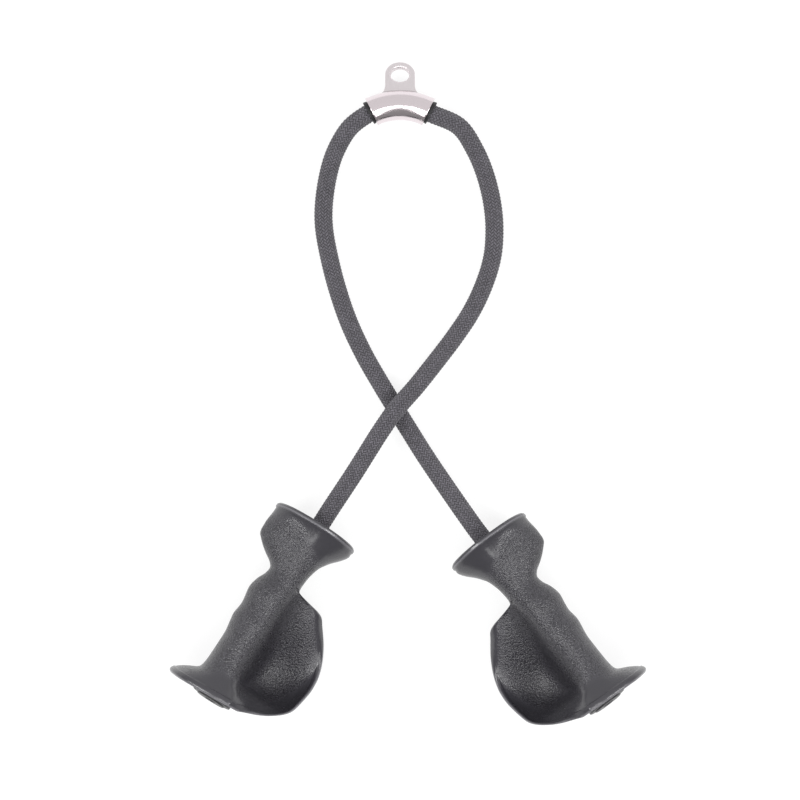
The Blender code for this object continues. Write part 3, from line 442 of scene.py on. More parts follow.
# %% Sections of the grip
def grip_sections(rows):
    """Closed sections at shares of the grip's length, as (row, point, (across, depth)). The oval's
    guides lie at fixed directions, the scoop's at the lip, wall, floor, flank, ridge and back.
    Near the dish the lip loses its round edge and the ridge's side fills out."""
    finger, palm, front, back, rim, floor, outer, finger_depth, back_offset, ridge, flank = (
        reach * smooth_values(table, rows)
        for reach, table in (
            (FINGER_REACH, FINGER), (PALM_REACH, PALM), (FRONT_REACH, FRONT), (BACK_REACH, BACK),
            (BACK_REACH, RIM_DEPTH), (BACK_REACH, FLOOR_DEPTH), (BACK_REACH, OUTER_DEPTH),
            (BACK_REACH, FINGER_DEPTH), (FINGER_REACH, BACK_OFFSET), (FINGER_REACH, RIDGE),
            (FLANK_REACH, FLANK),
        )
    )
    across = np.where(np.cos(OVAL) > 0, palm[:, None], finger[:, None]) * np.cos(OVAL)
    depth = np.where(np.sin(OVAL) > 0, front[:, None], back[:, None]) * np.sin(OVAL)
    oval = np.stack([across, depth], axis=2)
    span = palm - flank
    filled = np.clip((floor / front + 0.9) / 1.5, 0.0, 1.0)
    at_dish = ease(0.90, 0.99, rows)
    guides = [
        (palm - 0.27 * RIM_THICKNESS * at_dish, rim - RIM_THICKNESS / 2),
        (palm - 0.25 * RIM_THICKNESS, rim),
        (palm - 0.15 * span, floor + 0.52 * (rim - floor)),
        (palm - 0.34 * span, floor + 0.14 * (rim - floor)),
        (flank + 0.34 * span, floor),
        (flank + 0.08 * span, floor + (0.13 + 0.55 * filled) * (front - floor)),
        (flank, floor + (0.54 + 0.34 * filled) * (front - floor)),
        (ridge + 0.62 * (flank - ridge), (0.84 + 0.13 * filled + 0.021 * at_dish) * front),
        (ridge, front),
        (-0.72 * finger, 0.66 * front),
        (-finger, finger_depth),
        (-0.78 * finger, 0.4 * finger_depth - 0.62 * back),
        (back_offset, -back),
        (flank + 0.45 * span, outer),
        (palm - 0.16 * span, outer + 0.36 * (rim - RIM_THICKNESS - outer)),
        (palm - 0.3 * RIM_THICKNESS, rim - RIM_THICKNESS),
    ]
    scoop = np.stack([np.stack(guide, axis=1) for guide in guides], axis=1)
    blend = ease(SCOOP_START, SCOOP_FULL, rows)[:, None, None]
    return round_loop(oval * (1 - blend) + scoop * blend, POINTS_BETWEEN)


finer = np.arange(ROWS_BETWEEN * (len(ROWS) - 1) + 1) / ROWS_BETWEEN
row_places = np.interp(finer, np.arange(len(ROWS)), np.array(ROWS) / 1000)
sections = grip_sections(row_places)
print("grip skin:", sections.shape[0], "rings of", sections.shape[1], "points")

# %% [markdown]
# ## The grips as closed shells
# The skin alone would be a paper bag. The moulding is solid, with a stepped bore for the sleeve
# and a chamber for the rope's stop, and its bottom is a dish with a raised boss. All of that is
# more rings: from the outside over the rim into the dish, up the boss, through the bore, out of
# the flange and back to the first ring. The shell closes on itself and needs no Boolean.

# %% Skin with a slanted dish
depth_mm = 1000 * GRIP_LENGTH * row_places[:, None]


def slant(across, depth, row):
    """How far the dish's rim leans back up the grip: a share of the way to its far side."""
    return ease(0.80, 0.95, row) * (DISH_SLANT * (FRONT_REACH - depth) + DISH_LEAN * across)


lean = slant(sections[..., 0], sections[..., 1], row_places[:, None])
skin = np.concatenate([sections, (GRIP_LENGTH * row_places[:, None] - lean)[..., None]], axis=2)
print("the rim leans back by up to", round(1000 * lean.max(), 1), "mm")

# %% [markdown]
# A lofted skin has creases where its guides lie close together. Real moulds have none, so we
# soften the side with the scoop: each point is moved a little towards its neighbours, over and
# over. The rim and the finger grooves are kept out of it, because they are meant to be crisp.


# %% Soft creases
def rim_distance(skin):
    """Each point's distance from the nearest point of the rim: the dish's edge and, from the
    shoulder down, the palm's edge."""
    palm_edge = skin[row_places > SCOOP_FULL, POINTS_BETWEEN // 2]
    edge = np.concatenate([palm_edge, skin[-1]])
    rows = [np.linalg.norm(row[:, None] - edge, axis=2).min(axis=1) for row in skin]
    return np.array(rows)


def softened(skin, share, rounds):
    """The skin with its creases rounded: each point moves a share of the way to the mean of its
    four neighbours, a number of times. Near the dish it also moves towards the mean of its two
    neighbours in its own ring. The first ring stays where it is."""
    soft = skin.copy()
    near_dish = ease(0.90, 0.97, row_places)[:, None] * ease(-0.024, -0.012, skin[..., 0])
    for _ in range(rounds):
        beside = np.roll(soft, 1, 1) + np.roll(soft, -1, 1)
        soft += 0.15 * near_dish[..., None] * (beside / 2 - soft)
        mean = (beside[1:-1] + soft[:-2] + soft[2:]) / 4
        soft[1:-1] += share[1:-1, :, None] * (mean - soft[1:-1])
    return soft


scoop_side = ease(-0.004, 0.008, skin[..., 0])
below_shoulder = ease(0.30, 0.36, row_places)[:, None]
freely = ease(0.002, 0.009, rim_distance(skin)) * scoop_side * below_shoulder
smooth_skin = softened(skin, 0.03 + 0.5 * freely, 120)
from_rim = rim_distance(smooth_skin)
moved = np.linalg.norm(smooth_skin - skin, axis=2)
print("softening moved the skin by up to", round(1000 * moved.max(), 1), "mm")

# %% Moulded lips
FLANGE_LIP, RIM_LIP = 0.00075, 0.00050


def lipped(skin, from_rim):
    """The skin with its moulded lips: a band 3 mm high round the flange and one 3 to 5 mm wide
    along the rim. They stand out because the skin behind them sinks in along its normal, and
    comes back to its own place some way further on."""
    normal = unit(np.cross(np.roll(skin, -1, 1) - np.roll(skin, 1, 1), np.gradient(skin, axis=0)))
    outward = np.sign((normal[1] * (skin[1] - skin[1].mean(axis=0))).sum())
    flange = FLANGE_LIP * ease(2.9, 3.7, depth_mm) * (1 - ease(7.0, 16.0, depth_mm))
    shown = ease(0.44, 0.60, row_places)[:, None]
    wide = 0.0030 + 0.0016 * ease(0.86, 0.94, row_places)[:, None]
    rim = RIM_LIP * ease(wide, wide + 0.0008, from_rim) * (1 - ease(0.008, 0.016, from_rim)) * shown
    return skin - outward * normal * np.maximum(flange, rim)[..., None]


outside = lipped(smooth_skin, from_rim)
print("lips stand", 1000 * FLANGE_LIP, "and", 1000 * RIM_LIP, "mm proud")

# %% Dish, boss and bore
SLEEVE_DIAMETER, SLEEVE_BORE = 0.0164, 0.0140
SLEEVE_HEAD_DIAMETER, SLEEVE_HEAD_THICKNESS = 0.0250, 0.0015
CHAMBER_DIAMETER, CHAMBER_DEPTH = 0.0190, 0.0340
BOSS_DIAMETER, BOSS_SINK, BOSS_EDGE = 0.0306, 0.0042, 0.0004
PLUG_SEAT = GRIP_LENGTH - BOSS_SINK
SLEEVE_END = PLUG_SEAT - CHAMBER_DEPTH
# From the rim down into the dish: shares of the last ring's width and of the dish's recess.
RIM_ROUND = (
    (0.985, -0.02), (0.965, -0.03), (0.945, -0.02), (0.925, 0.01), (0.905, 0.08), (0.890, 0.19),
    (0.878, 0.36), (0.868, 0.58), (0.860, 0.80), (0.850, 0.94), (0.835, 1.0),
)


def directions_of(section):
    """The direction of each point of a section from the rope's axis, always growing."""
    turned = np.unwrap(np.arctan2(section[:, 1], section[:, 0]))
    return np.maximum.accumulate(turned)


def circle(radius, height, turned):
    """A ring round the rope's axis, with its points in the given directions."""
    level = np.broadcast_to(height, turned.shape)
    return np.stack([radius * np.cos(turned), radius * np.sin(turned), level], axis=-1)


def between(first, last, count):
    """Rings between two rings, each a mix of the two in even steps."""
    share = np.linspace(0.0, 1.0, count + 2)[1:-1, None, None]
    return first * (1 - share) + last * share


def grip_rings(skin):
    """All rings of the left grip, in its own frame: skin, rim, dish, boss, bore and top face."""
    width, sink = np.array(RIM_ROUND).T[:, :, None]
    over = skin[-1, :, :2][None] * width[..., None]
    level = GRIP_LENGTH - DISH_RECESS * sink - slant(over[..., 0], over[..., 1], 1.0)
    rim = np.concatenate([over, level[..., None]], axis=2)
    low, high = directions_of(skin[-1]), directions_of(skin[0])
    foot = circle(BOSS_DIAMETER / 2, 0.0, low)
    foot[:, 2] = GRIP_LENGTH - DISH_RECESS - slant(foot[:, 0], foot[:, 1], 1.0)
    boss = [
        foot, circle(BOSS_DIAMETER / 2, np.minimum(foot[:, 2], PLUG_SEAT - BOSS_EDGE), low),
        circle(BOSS_DIAMETER / 2 - BOSS_EDGE, PLUG_SEAT, low),
    ]
    chamber, hole = CHAMBER_DIAMETER / 2, SLEEVE_DIAMETER / 2 + GAP
    head, head_seat = SLEEVE_HEAD_DIAMETER / 2 + GAP, SLEEVE_HEAD_THICKNESS + GAP
    bore = [
        (chamber, PLUG_SEAT, 0.0), (chamber, SLEEVE_END, 0.3), (hole, SLEEVE_END, 0.35),
        (hole, SLEEVE_END / 2, 0.7), (hole, head_seat, 0.95), (head, head_seat, 1.0),
        (head, BOSS_EDGE, 1.0), (head + BOSS_EDGE, 0.0, 1.0),
    ]
    bore = [circle(radius, height, low + (high - low) * part) for radius, height, part in bore]
    dish, face = between(rim[-1], foot, 7), between(bore[-1], skin[0], 8)
    return np.concatenate([skin, rim, dish, np.array(boss), np.array(bore), face])


mould = grip_rings(outside)
print(len(mould), "rings in one grip,", len(skin), "of them outside")

# %% [markdown]
# Two masks go onto the mesh as attributes, for the finish to read. One says where the mould has
# its leather grain: not on the lips, nor on a band beside them. The other says where a highlight
# is painted pale along the crests of the lips, where their rounded edges catch the light.

# %% Grain and painted-highlight masks
start = 5.5 + 12.5 * ease(-0.012, 0.012, sections[..., 0])
under_flange = ease(start - 1.5, start + 8.5, depth_mm)
towards_dish = ease(0.60, 0.88, row_places)[:, None] * ease(-0.022, 0.0, sections[..., 0])
wide = 0.0035 + 0.0135 * towards_dish
grain = under_flange * ease(wide - 0.001, wide + 0.0080, from_rim)

# A painted highlight: a pale band along the crests of the flange's lip and of the rim's lip, where
# their rounded edges catch the light.
flange_crest = np.exp(-(((depth_mm - 2.4) / 0.7) ** 2))
rim_crest = (1 - ease(0.0006, 0.0020, from_rim)) * ease(0.40, 0.55, row_places)[:, None]
rubbed = np.maximum(flange_crest, rim_crest)
over_the_rim = rubbed[-1:] * np.array([1.0, 0.9, 0.6, 0.2])[:, None]
rubbed = np.concatenate([rubbed, over_the_rim])


def for_all_rings(mask):
    """A mask's values for every point of a grip: 0 on the rings that it doesn't reach."""
    rest = np.zeros((len(mould) - len(mask), mask.shape[1]))
    return np.concatenate([mask, rest]).astype(np.float32).ravel()


print("grained:", round(100 * float(grain.mean())), "% of the skin's points")

# %% Grip pieces
for side in ("left", "right"):
    sign = grip_frame(side)[2]
    grip = shell(f"{side}_moulded_grip", in_grip(side, mould * np.array([sign, 1, 1])), crisp=55.0)
    for name, mask in (("grain", grain), ("rubbed", rubbed)):
        attribute = grip.data.attributes.new(name, "FLOAT", "POINT")
        attribute.data.foreach_set("value", for_all_rings(mask))
    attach(grip, f"{side}_handle")
    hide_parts(f"{side}_grip")
    print(f"{side} grip:", len(grip.data.polygons), "faces")

# %% [markdown]
# ## Turned fittings
# The core sleeve, whose rim shows round the rope, and the plug in the dish are turned parts. A
# turned part is one profile of (radius, height) points carried round the axis. The profile is
# closed, so the shell is too. Small bevels catch light where a lathe or a mould leaves them.


# %% Sleeve profile
def turned_rings(profile, around=96):
    """The profile carried round the rope's axis: each (radius, height) becomes one ring."""
    profile = np.array(profile)
    turned = np.linspace(0, 2 * np.pi, around, endpoint=False)
    return circle(profile[:, :1], profile[:, 1:], np.broadcast_to(turned, (len(profile), around)))


tube, bore, head = SLEEVE_DIAMETER / 2, SLEEVE_BORE / 2, SLEEVE_HEAD_DIAMETER / 2
lip = 0.0005
sleeve_profile = [
    (tube, SLEEVE_END), (tube, SLEEVE_END / 2), (tube, SLEEVE_HEAD_THICKNESS),
    (head, SLEEVE_HEAD_THICKNESS), (head, lip), (head - lip / 3, lip / 3), (head - lip, 0.0),
    (bore + 3 * lip, 0.0), (bore + 1.2 * lip, lip / 2), (bore + lip / 3, 1.3 * lip),
    (bore, 2.6 * lip), (bore, SLEEVE_END),
]
print("sleeve wall:", round(1000 * (tube - bore), 1), "mm")

# %% Plug profile
PLUG_HEIGHT, STEP_HEIGHT, SPIGOT_LENGTH, SPIGOT_WALL = 0.0037, 0.0026, 0.0070, 0.0018
CAP_RADIUS, STEP_RADIUS, DIMPLE_RADIUS = 0.01075, 0.0146, 0.0044
AXIS = 0.00002
seat, spigot, edge = PLUG_SEAT + GAP, CHAMBER_DIAMETER / 2 - GAP, 0.0006
top, step = seat + PLUG_HEIGHT, seat + STEP_HEIGHT
plug_profile = [
    (AXIS, top - edge), (DIMPLE_RADIUS - 0.0004, top - edge), (DIMPLE_RADIUS, top),
    (CAP_RADIUS - edge, top), (CAP_RADIUS - edge / 3, top - edge / 3), (CAP_RADIUS, top - edge),
    (CAP_RADIUS, step + edge / 3), (CAP_RADIUS + 0.00035, step), (STEP_RADIUS - edge, step),
    (STEP_RADIUS - edge / 3, step - edge / 3), (STEP_RADIUS, step - edge), (STEP_RADIUS, seat),
    (spigot, seat), (spigot, seat - SPIGOT_LENGTH), (spigot - SPIGOT_WALL, seat - SPIGOT_LENGTH),
    (spigot - SPIGOT_WALL, seat), (AXIS, seat),
]
print("plug stands", round(1000 * (top - PLUG_SEAT), 1), "mm proud of its seat")

# %% Sleeves and plugs
for side in ("left", "right"):
    sleeve = shell(f"{side}_sleeve_rim", in_grip(side, turned_rings(sleeve_profile)))
    plug = shell(f"{side}_plug_disc", in_grip(side, turned_rings(plug_profile)))
    for item, node, slot_name in (
        (sleeve, "core_sleeve", "grey_alloy"), (plug, "end_plug", "black_nylon"),
    ):
        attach(item, f"{side}_handle")
        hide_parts(f"{side}_{node}")
    print(f"{side} fittings:", sleeve.name, plug.name)

# %% [markdown]
# ## The saddle collar and its liner
# The collar is a short piece of steel tube bent to an arc, so its surface is a part of a ring
# torus. One function serves both it and the rubber liner: a closed profile of (angle along the
# arc, radius of the tube) pairs, with each pair carried round the tube's own axis.


# %% Arc-shaped shells
def arc_rings(profile, around=96):
    """Each (angle, radius) pair becomes a ring round the arch's centreline: the centreline's point
    at that angle, plus the radius along the outward and the upward direction."""
    angle, radius = np.array(profile).T
    turned = np.linspace(0, 2 * np.pi, around, endpoint=False)
    spoke = outwards(angle)[:, None] * np.cos(turned)[:, None]
    spoke = spoke + np.array([0.0, 0.0, 1.0]) * np.sin(turned)[:, None]
    return arch(angle)[:, None] + radius[:, None, None] * spoke


def rounded_end(end, outer, inner, edge):
    """The tube's end face, its two corners rounded, from the outer radius to the inner one."""
    back = edge / ARCH_RADIUS
    return [
        (end - back, outer), (end - 0.3 * back, outer - 0.3 * edge), (end, outer - edge),
        (end, inner + edge), (end - 0.3 * back, inner + 0.3 * edge), (end - back, inner),
    ]


def tube_profile(straight, outer, inner, end, steps):
    """A closed profile: along the outside, round one end, back along the inside, and round the
    other end, which is the first one mirrored."""
    over = [(angle, outer) for angle in np.linspace(-straight, straight, steps)]
    under = [(angle, inner) for angle in np.linspace(straight, -straight, 12)]
    return over + end + under + [(-angle, radius) for angle, radius in reversed(end)]


print("arch:", round(2000 * ARCH_HALF_ANGLE * ARCH_RADIUS, 1), "mm along its middle")

# %% Collar and liner
END_FLARE, END_ROUND, END_ROLL = 0.00028, 0.00035, 0.0022
LINER_WALL, LINER_LIP_DIAMETER, LINER_ROUND = 0.0008, 0.0168, 0.0004

outer = COLLAR_DIAMETER / 2
inner = outer - COLLAR_WALL
collar_end = rounded_end(ARCH_HALF_ANGLE, outer + END_FLARE, inner, END_ROUND)
straight = ARCH_HALF_ANGLE - END_ROLL / ARCH_RADIUS
collar = shell("collar_tube", arc_rings(tube_profile(straight, outer, inner, collar_end, 40)))

lip, bore = LINER_LIP_DIAMETER / 2, inner - GAP - LINER_WALL
lip_from = ARCH_HALF_ANGLE + GAP / ARCH_RADIUS
liner_end = [(lip_from, lip - 0.0003)] + rounded_end(LIP_END, lip, bore, LINER_ROUND)
liner = shell("liner_ring", arc_rings(tube_profile(lip_from, inner - GAP, bore, liner_end, 24)))

for item, node, slot_name in (
    (collar, "saddle_collar", "polished_steel"), (liner, "collar_liner", "black_rubber"),
):
    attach(item, "collar_body")
    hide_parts(node)
print("faces:", len(collar.data.polygons), "collar,", len(liner.data.polygons), "liner")

# %% [markdown]
# ## The clip eye and its weld
# The eye is a flat tab with a round tip and a hole for the clip, leaning down from the collar to
# the ground, and it widens where it was welded on. Its outline, a ring a little further in and
# the hole have the same number of points, and all others are mixes of these, so one grid covers
# both faces, the rim and the hole's wall. The ring keeps the grid from folding at the flares.
# The weld is a thin bead along the line where the tab's face meets the tube.

# %% The tab's plane
LEAN = np.array([[1.0, 0.0, 0.0], [0.0, math.cos(EYE_TILT), -math.sin(EYE_TILT)]])
FACE = np.array([0.0, math.sin(EYE_TILT), math.cos(EYE_TILT)])
EYE_ROOT = ARCH_MIDDLE + np.array([0.0, ARCH_RADIUS, 0.0])


def on_plate(flat, lift):
    """Points of the tab: (sideways, outwards) in its plane, raised by `lift` from its middle."""
    return flat @ LEAN + np.asarray(lift)[..., None] * FACE + EYE_ROOT


def meets_tube(sideways, lift, reach):
    """How far out on the tab the tube's axis is `reach` away: 40 halvings of 0 to 20 mm."""
    low, high = np.zeros_like(sideways), np.full_like(sideways, 0.020)
    for _ in range(40):
        middle = (low + high) / 2
        place = on_plate(np.stack([sideways, middle], axis=-1), lift) - ARCH_MIDDLE
        away = np.hypot(np.hypot(place[..., 0], place[..., 1]) - ARCH_RADIUS, place[..., 2])
        low, high = np.where(away < reach, middle, low), np.where(away < reach, high, middle)
    return (low + high) / 2


half, tube, thick = EYE_WIDTH / 2, COLLAR_DIAMETER / 2, EYE_THICKNESS / 2
meeting = meets_tube(np.zeros(1), thick, tube)[0]
print("the tab's top face leaves the tube", round(1000 * meeting, 1), "mm out")

# %% The tab's outline, middle ring and hole
inner, foot, level = 0.8 * half, half + EYE_FLARE, tube + 0.0004
low, high = meets_tube(np.array([foot]), 0.0, tube)[0], tube + 0.0062
turn, bend = np.linspace(0.0, math.pi, 60), np.linspace(math.pi / 2, 0.0, 16)
base_x = np.linspace(-foot, foot, 30)
mirror = np.array([-1, 1])


def closed_ring(side, tip, base):
    """A ring from its right side, its tip, the mirrored side and its base, back to the start."""
    return np.vstack([side, tip, (side * mirror)[::-1], base, side[:1]])


def round_tip(radius):
    """A half circle round the hole's middle."""
    return np.column_stack([radius * np.cos(turn), EYE_REACH + radius * np.sin(turn)])


rise = 1 - np.sin(bend)
flare = np.column_stack([half + EYE_FLARE * (1 - np.cos(bend)), low + (high - low) * rise])
flare_inside = np.column_stack([inner + 0 * bend, level + (high - level) * rise])
base = np.column_stack([base_x, meets_tube(base_x, 0.0, tube - 0.0005)])
base_inside = np.column_stack([base_x * inner / foot, level + 0 * base_x])
outline = closed_ring(flare, round_tip(half), base)
middle = closed_ring(flare_inside, round_tip(inner), base_inside)
gone = np.concatenate([[0.0], np.linalg.norm(np.diff(outline, axis=0), axis=1).cumsum()])
wanted = np.linspace(0.0, gone[-1], 200, endpoint=False)
outline, middle = (
    np.column_stack([np.interp(wanted, gone, ring[:, k]) for k in range(2)])
    for ring in (outline, middle)
)
hole_middle = np.array([0.0, EYE_REACH])
hole = unit(middle - hole_middle) * EYE_HOLE_DIAMETER / 2 + hole_middle
print("outline:", round(1000 * gone[-1], 1), "mm long")

# %% Eye plate
top_half = [
    (0.0, thick - EYE_EDGE, 0), (0.3, thick - 0.3 * EYE_EDGE, 0), (1.0, thick, 0), (1.3, thick, 0),
    (1.3, thick, 0.5), (-2.2, thick, 1), (-1.8, thick, 1), (-0.6, thick - 0.45 * EYE_EDGE, 1),
    (0.0, thick - 1.5 * EYE_EDGE, 1),
]
plate_profile = top_half + [(inset, -lift, share) for inset, lift, share in reversed(top_half)]
inset, lift, share = (np.array(column)[:, None] for column in zip(*plate_profile))
outer_part = np.clip(1 - 2 * share, 0, 1)[..., None]
inner_part = np.clip(2 * share - 1, 0, 1)[..., None]
spoke = np.where(share[..., None] < 0.75, unit(middle - outline), unit(hole - middle))
flat = outline * outer_part + hole * inner_part + middle * (1 - outer_part - inner_part)
flat = flat + spoke * (inset * EYE_EDGE)[..., None]
plate = shell("eye_tab", on_plate(flat, np.broadcast_to(lift, flat.shape[:2])))
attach(plate, "collar_body")
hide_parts("eye_plate")
print("eye tab:", len(plate.data.polygons), "faces")

# %% Weld beads
WELD_RADIUS, RIPPLE_PITCH = 0.0013, 0.0015
bead_end = half + 0.6 * EYE_FLARE
bead_x = np.linspace(-bead_end, bead_end, 90)
spin = np.linspace(0, 2 * np.pi, 20, endpoint=False)
ends = np.sqrt(np.clip(1 - (np.abs(bead_x) / bead_end) ** 6, 0.02, 1))
bead_radius = WELD_RADIUS * ends * (1 + 0.05 * np.sin(2 * np.pi * bead_x / RIPPLE_PITCH))
for name, face_lift in (("upper_weld", thick), ("lower_weld", -thick)):
    seam = np.column_stack([bead_x, meets_tube(bead_x, face_lift, tube)])
    line = on_plate(seam, np.full(len(bead_x), face_lift))
    ahead = unit(np.gradient(line, axis=0))
    side_way = unit(np.cross(ahead, FACE))
    spokes = side_way[:, None] * np.cos(spin)[:, None]
    spokes = spokes + np.cross(side_way, ahead)[:, None] * np.sin(spin)[:, None]
    rings = line[:, None] + spokes * bead_radius[:, None, None]
    bead = shell(name, rings, closed_along=False, crisp=180.0)
    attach(bead, "collar_body")
print("weld beads:", round(2000 * bead_end, 1), "mm long")

# %% [markdown]
# ## Formulas in nodes
# A finish is a small network of nodes. To keep the networks readable, what a socket gives out is
# wrapped as a Signal, and sums and products with it place the Math nodes. A formula in nodes then
# looks like the same formula in numpy. Values that are the same everywhere sit on the shader.


# %% Signals
class Signal:
    """What a socket gives out. Arithmetic with it adds Math nodes to its tree."""

    def __init__(self, socket):
        self.socket = socket

    def out(self, label):
        """What another socket of the same node gives out."""
        return Signal(self.socket.node.outputs[label])

    def __add__(self, other):
        return calculate("ADD", self, other)

    def __sub__(self, other):
        return calculate("SUBTRACT", self, other)

    def __rsub__(self, other):
        return calculate("SUBTRACT", other, self)

    def __mul__(self, other):
        return calculate("MULTIPLY", self, other)

    def __pow__(self, other):
        return calculate("POWER", self, other)


def connect(value, socket):
    """Link a signal to a socket, or type a number, a direction or a colour into it."""
    if isinstance(value, Signal):
        socket.id_data.links.new(value.socket, socket)
    else:
        socket.default_value = (*value, 1.0) if socket.type == "RGBA" else value


def add(kind, inputs, output=0, tree=None, **settings):
    """A new shader node, as the signal of one of its outputs. Its inputs go by name or number,
    and without a tree it goes where the signals among them come from."""
    signals = [value for value in inputs.values() if isinstance(value, Signal)]
    node = (tree or signals[0].socket.id_data).nodes.new("ShaderNode" + kind)
    for name, value in settings.items():
        setattr(node, name, value)
    for label, value in inputs.items():
        connect(value, node.inputs[label])
    return Signal(node.outputs[output])


def calculate(operation, *values):
    """A Math node on one or two values."""
    return add("Math", dict(enumerate(values)), operation=operation)


def mix_colour(share, first, second, blend="MIX"):
    """Two colours mixed by a share from 0 to 1, or blended in another way."""
    given = {0: share, 6: first, 7: second}
    return add("Mix", given, 2, data_type="RGBA", blend_type=blend)


def noise(where, scale, detail=2.0, roughness=0.5):
    """A cloudy value from 0 to 1."""
    given = {"Vector": where, "Scale": scale, "Detail": detail, "Roughness": roughness}
    return add("TexNoise", given, "Fac")


trial = bpy.data.node_groups.new("trial", "ShaderNodeTree")
result = 1.0 - add("Value", {}, tree=trial) * 2.0
print("1 - 2 x value:", len(trial.nodes), "nodes, the last to", result.socket.node.operation)
bpy.data.node_groups.remove(trial)


# %% Groups and materials
def open_group(name, inputs, outputs):
    """A shader node group. Its inputs have values where they are numbers or directions, or None
    where a place comes in, and all of its outputs are numbers."""
    group = bpy.data.node_groups.new(name, "ShaderNodeTree")
    for label, value in inputs.items():
        kind = "NodeSocketFloat" if isinstance(value, float) else "NodeSocketVector"
        socket = group.interface.new_socket(label, in_out="INPUT", socket_type=kind)
        if value is not None:
            socket.default_value = value
    for label in outputs:
        group.interface.new_socket(label, in_out="OUTPUT", socket_type="NodeSocketFloat")
    given = group.nodes.new("NodeGroupInput").outputs
    signals = [Signal(given[label]) for label in inputs]
    return group, signals, group.nodes.new("NodeGroupOutput").inputs


def use_group(group, **values):
    """A placed group, as the signal of its first output."""
    return add("Group", values, node_tree=group)


def open_material(name, colour, roughness, metallic=0.0, **constant):
    """A material, its tree and its shader's inputs, with the values that are the same everywhere
    typed into them."""
    made = bpy.data.materials.new(name)
    made.use_nodes = True
    inputs = made.node_tree.nodes["Principled BSDF"].inputs
    constant = {"Base Color": colour, "Roughness": roughness, "Metallic": metallic, **constant}
    for label, value in constant.items():
        connect(value, inputs[label.replace("_", " ")])
    return made, made.node_tree, inputs


def object_place(tree):
    """A point's place on its piece, in the piece's own coordinates."""
    return add("TexCoord", {}, "Object", tree)


def bump(shader, height, strength, distance):
    """Fine relief that bends the shader's normal."""
    given = {"Height": height, "Strength": strength, "Distance": distance}
    connect(add("Bump", given, "Normal"), shader["Normal"])


def coat(finish, *names):
    """Give the named pieces a finish."""
    for name in names:
        bpy.data.objects[name].data.materials.append(finish)


print(len(bpy.data.meshes), "meshes wait for a finish")

# %% [markdown]
# ## Effects that several finishes share
# Three effects turn up on more than one material, so each is a node group. Uneven gives the slow
# drift in shade and gloss that every handled surface has. Grain is the leather pebble of the
# mould, cells of slightly different height with fine wrinkles. Brushing is the set of hairlines
# that a belt leaves in steel, drawn by stretching noise along one direction.

# %% Uneven
uneven, (place, scale, amount), out = open_group(
    "uneven", {"Place": None, "Scale": 40.0, "Amount": 0.1}, ["Value"]
)
connect((noise(place, scale, 3.0) - 0.5) * amount + 1.0, out["Value"])


def drift_at(place, scale, amount):
    """A value that wanders round 1, by half the amount to each side at most."""
    return use_group(uneven, Place=place, Scale=scale, Amount=amount)


print(uneven.name, "has", len(uneven.nodes), "nodes")

# %% Leather grain
WARP = (0.0010, 0.0010, 0.0010)
leather, (place, scale, mask), out = open_group(
    "leather_grain", {"Place": None, "Scale": 900.0, "Mask": 1.0}, ["Height", "Hollow"]
)
cloud = noise(place, scale * 0.35, 1.0).out("Color")
bent = add("VectorMath", {0: cloud, 1: WARP, 2: place}, operation="MULTIPLY_ADD")
given = {"Vector": bent, "Scale": scale, "Smoothness": 0.45}
cells = add("TexVoronoi", given, "Distance", feature="SMOOTH_F1")
wrinkle = noise(place, scale * 1.6, 3.0)
connect((1.0 - cells + wrinkle * 0.35) * mask, out["Height"])
connect(calculate("MINIMUM", cells * mask, 1.0), out["Hollow"])
print(leather.name, "has", len(leather.nodes), "nodes")

# %% Brushing
brushing, (place, stretch), out = open_group(
    "brushing", {"Place": None, "Stretch": (1.0, 1.0, 1.0)}, ["Lines"]
)
long_way = add("VectorMath", {0: place, 1: stretch}, operation="MULTIPLY")
connect(noise(long_way, 1.0, 4.0, 0.6), out["Lines"])
print(brushing.name, "has", len(brushing.nodes), "nodes")

# %% [markdown]
# ## The weave as nodes
# The rope's mesh already has the weave in its shape, four points to a float. The finish repeats
# the same sums in nodes, on the UV map's u and v, for what is finer than that: crisp edges
# between strands, the yarns inside each strand, and a slightly different shade for each float.

# %% Weave group
YARNS = 4
weave, (place,), out = open_group("braid_weave", {"UV": None}, ["Height", "Shade", "Yarns"])
u = add("SeparateXYZ", {0: place})
v = u.out(1)
a, b = u + v, u - v
i, j = calculate("FLOOR", a), calculate("FLOOR", b)
column = calculate("FLOORED_MODULO", i + j, 4.0)
second = calculate("GREATER_THAN", column, 1.5)


def choose(first, other):
    """first on a float of the first family, and other on one of the second."""
    return first + (other - first) * second


across = choose(a - i, b - j) - 0.5
along = choose(b - j + column, a - i + column - 2.0) * 0.5 - 0.5
crown = calculate("MAXIMUM", 1.0 - across ** 2.0 * 4.0, 0.0)
connect(crown * (1.0 - along ** 2.0 * (4 * FLOAT_DIP)), out["Height"])
connect(calculate("SINE", across * (2 * math.pi * YARNS)) * 0.5 + 0.5, out["Yarns"])
float_name = {0: choose(i, j + 40.5), 1: choose(calculate("FLOOR", (i + j) * 0.5), i)}
given = {"Vector": add("CombineXYZ", float_name)}
connect(add("TexWhiteNoise", given, "Value", noise_dimensions="2D"), out["Shade"])
print(weave.name, "has", len(weave.nodes), "nodes")
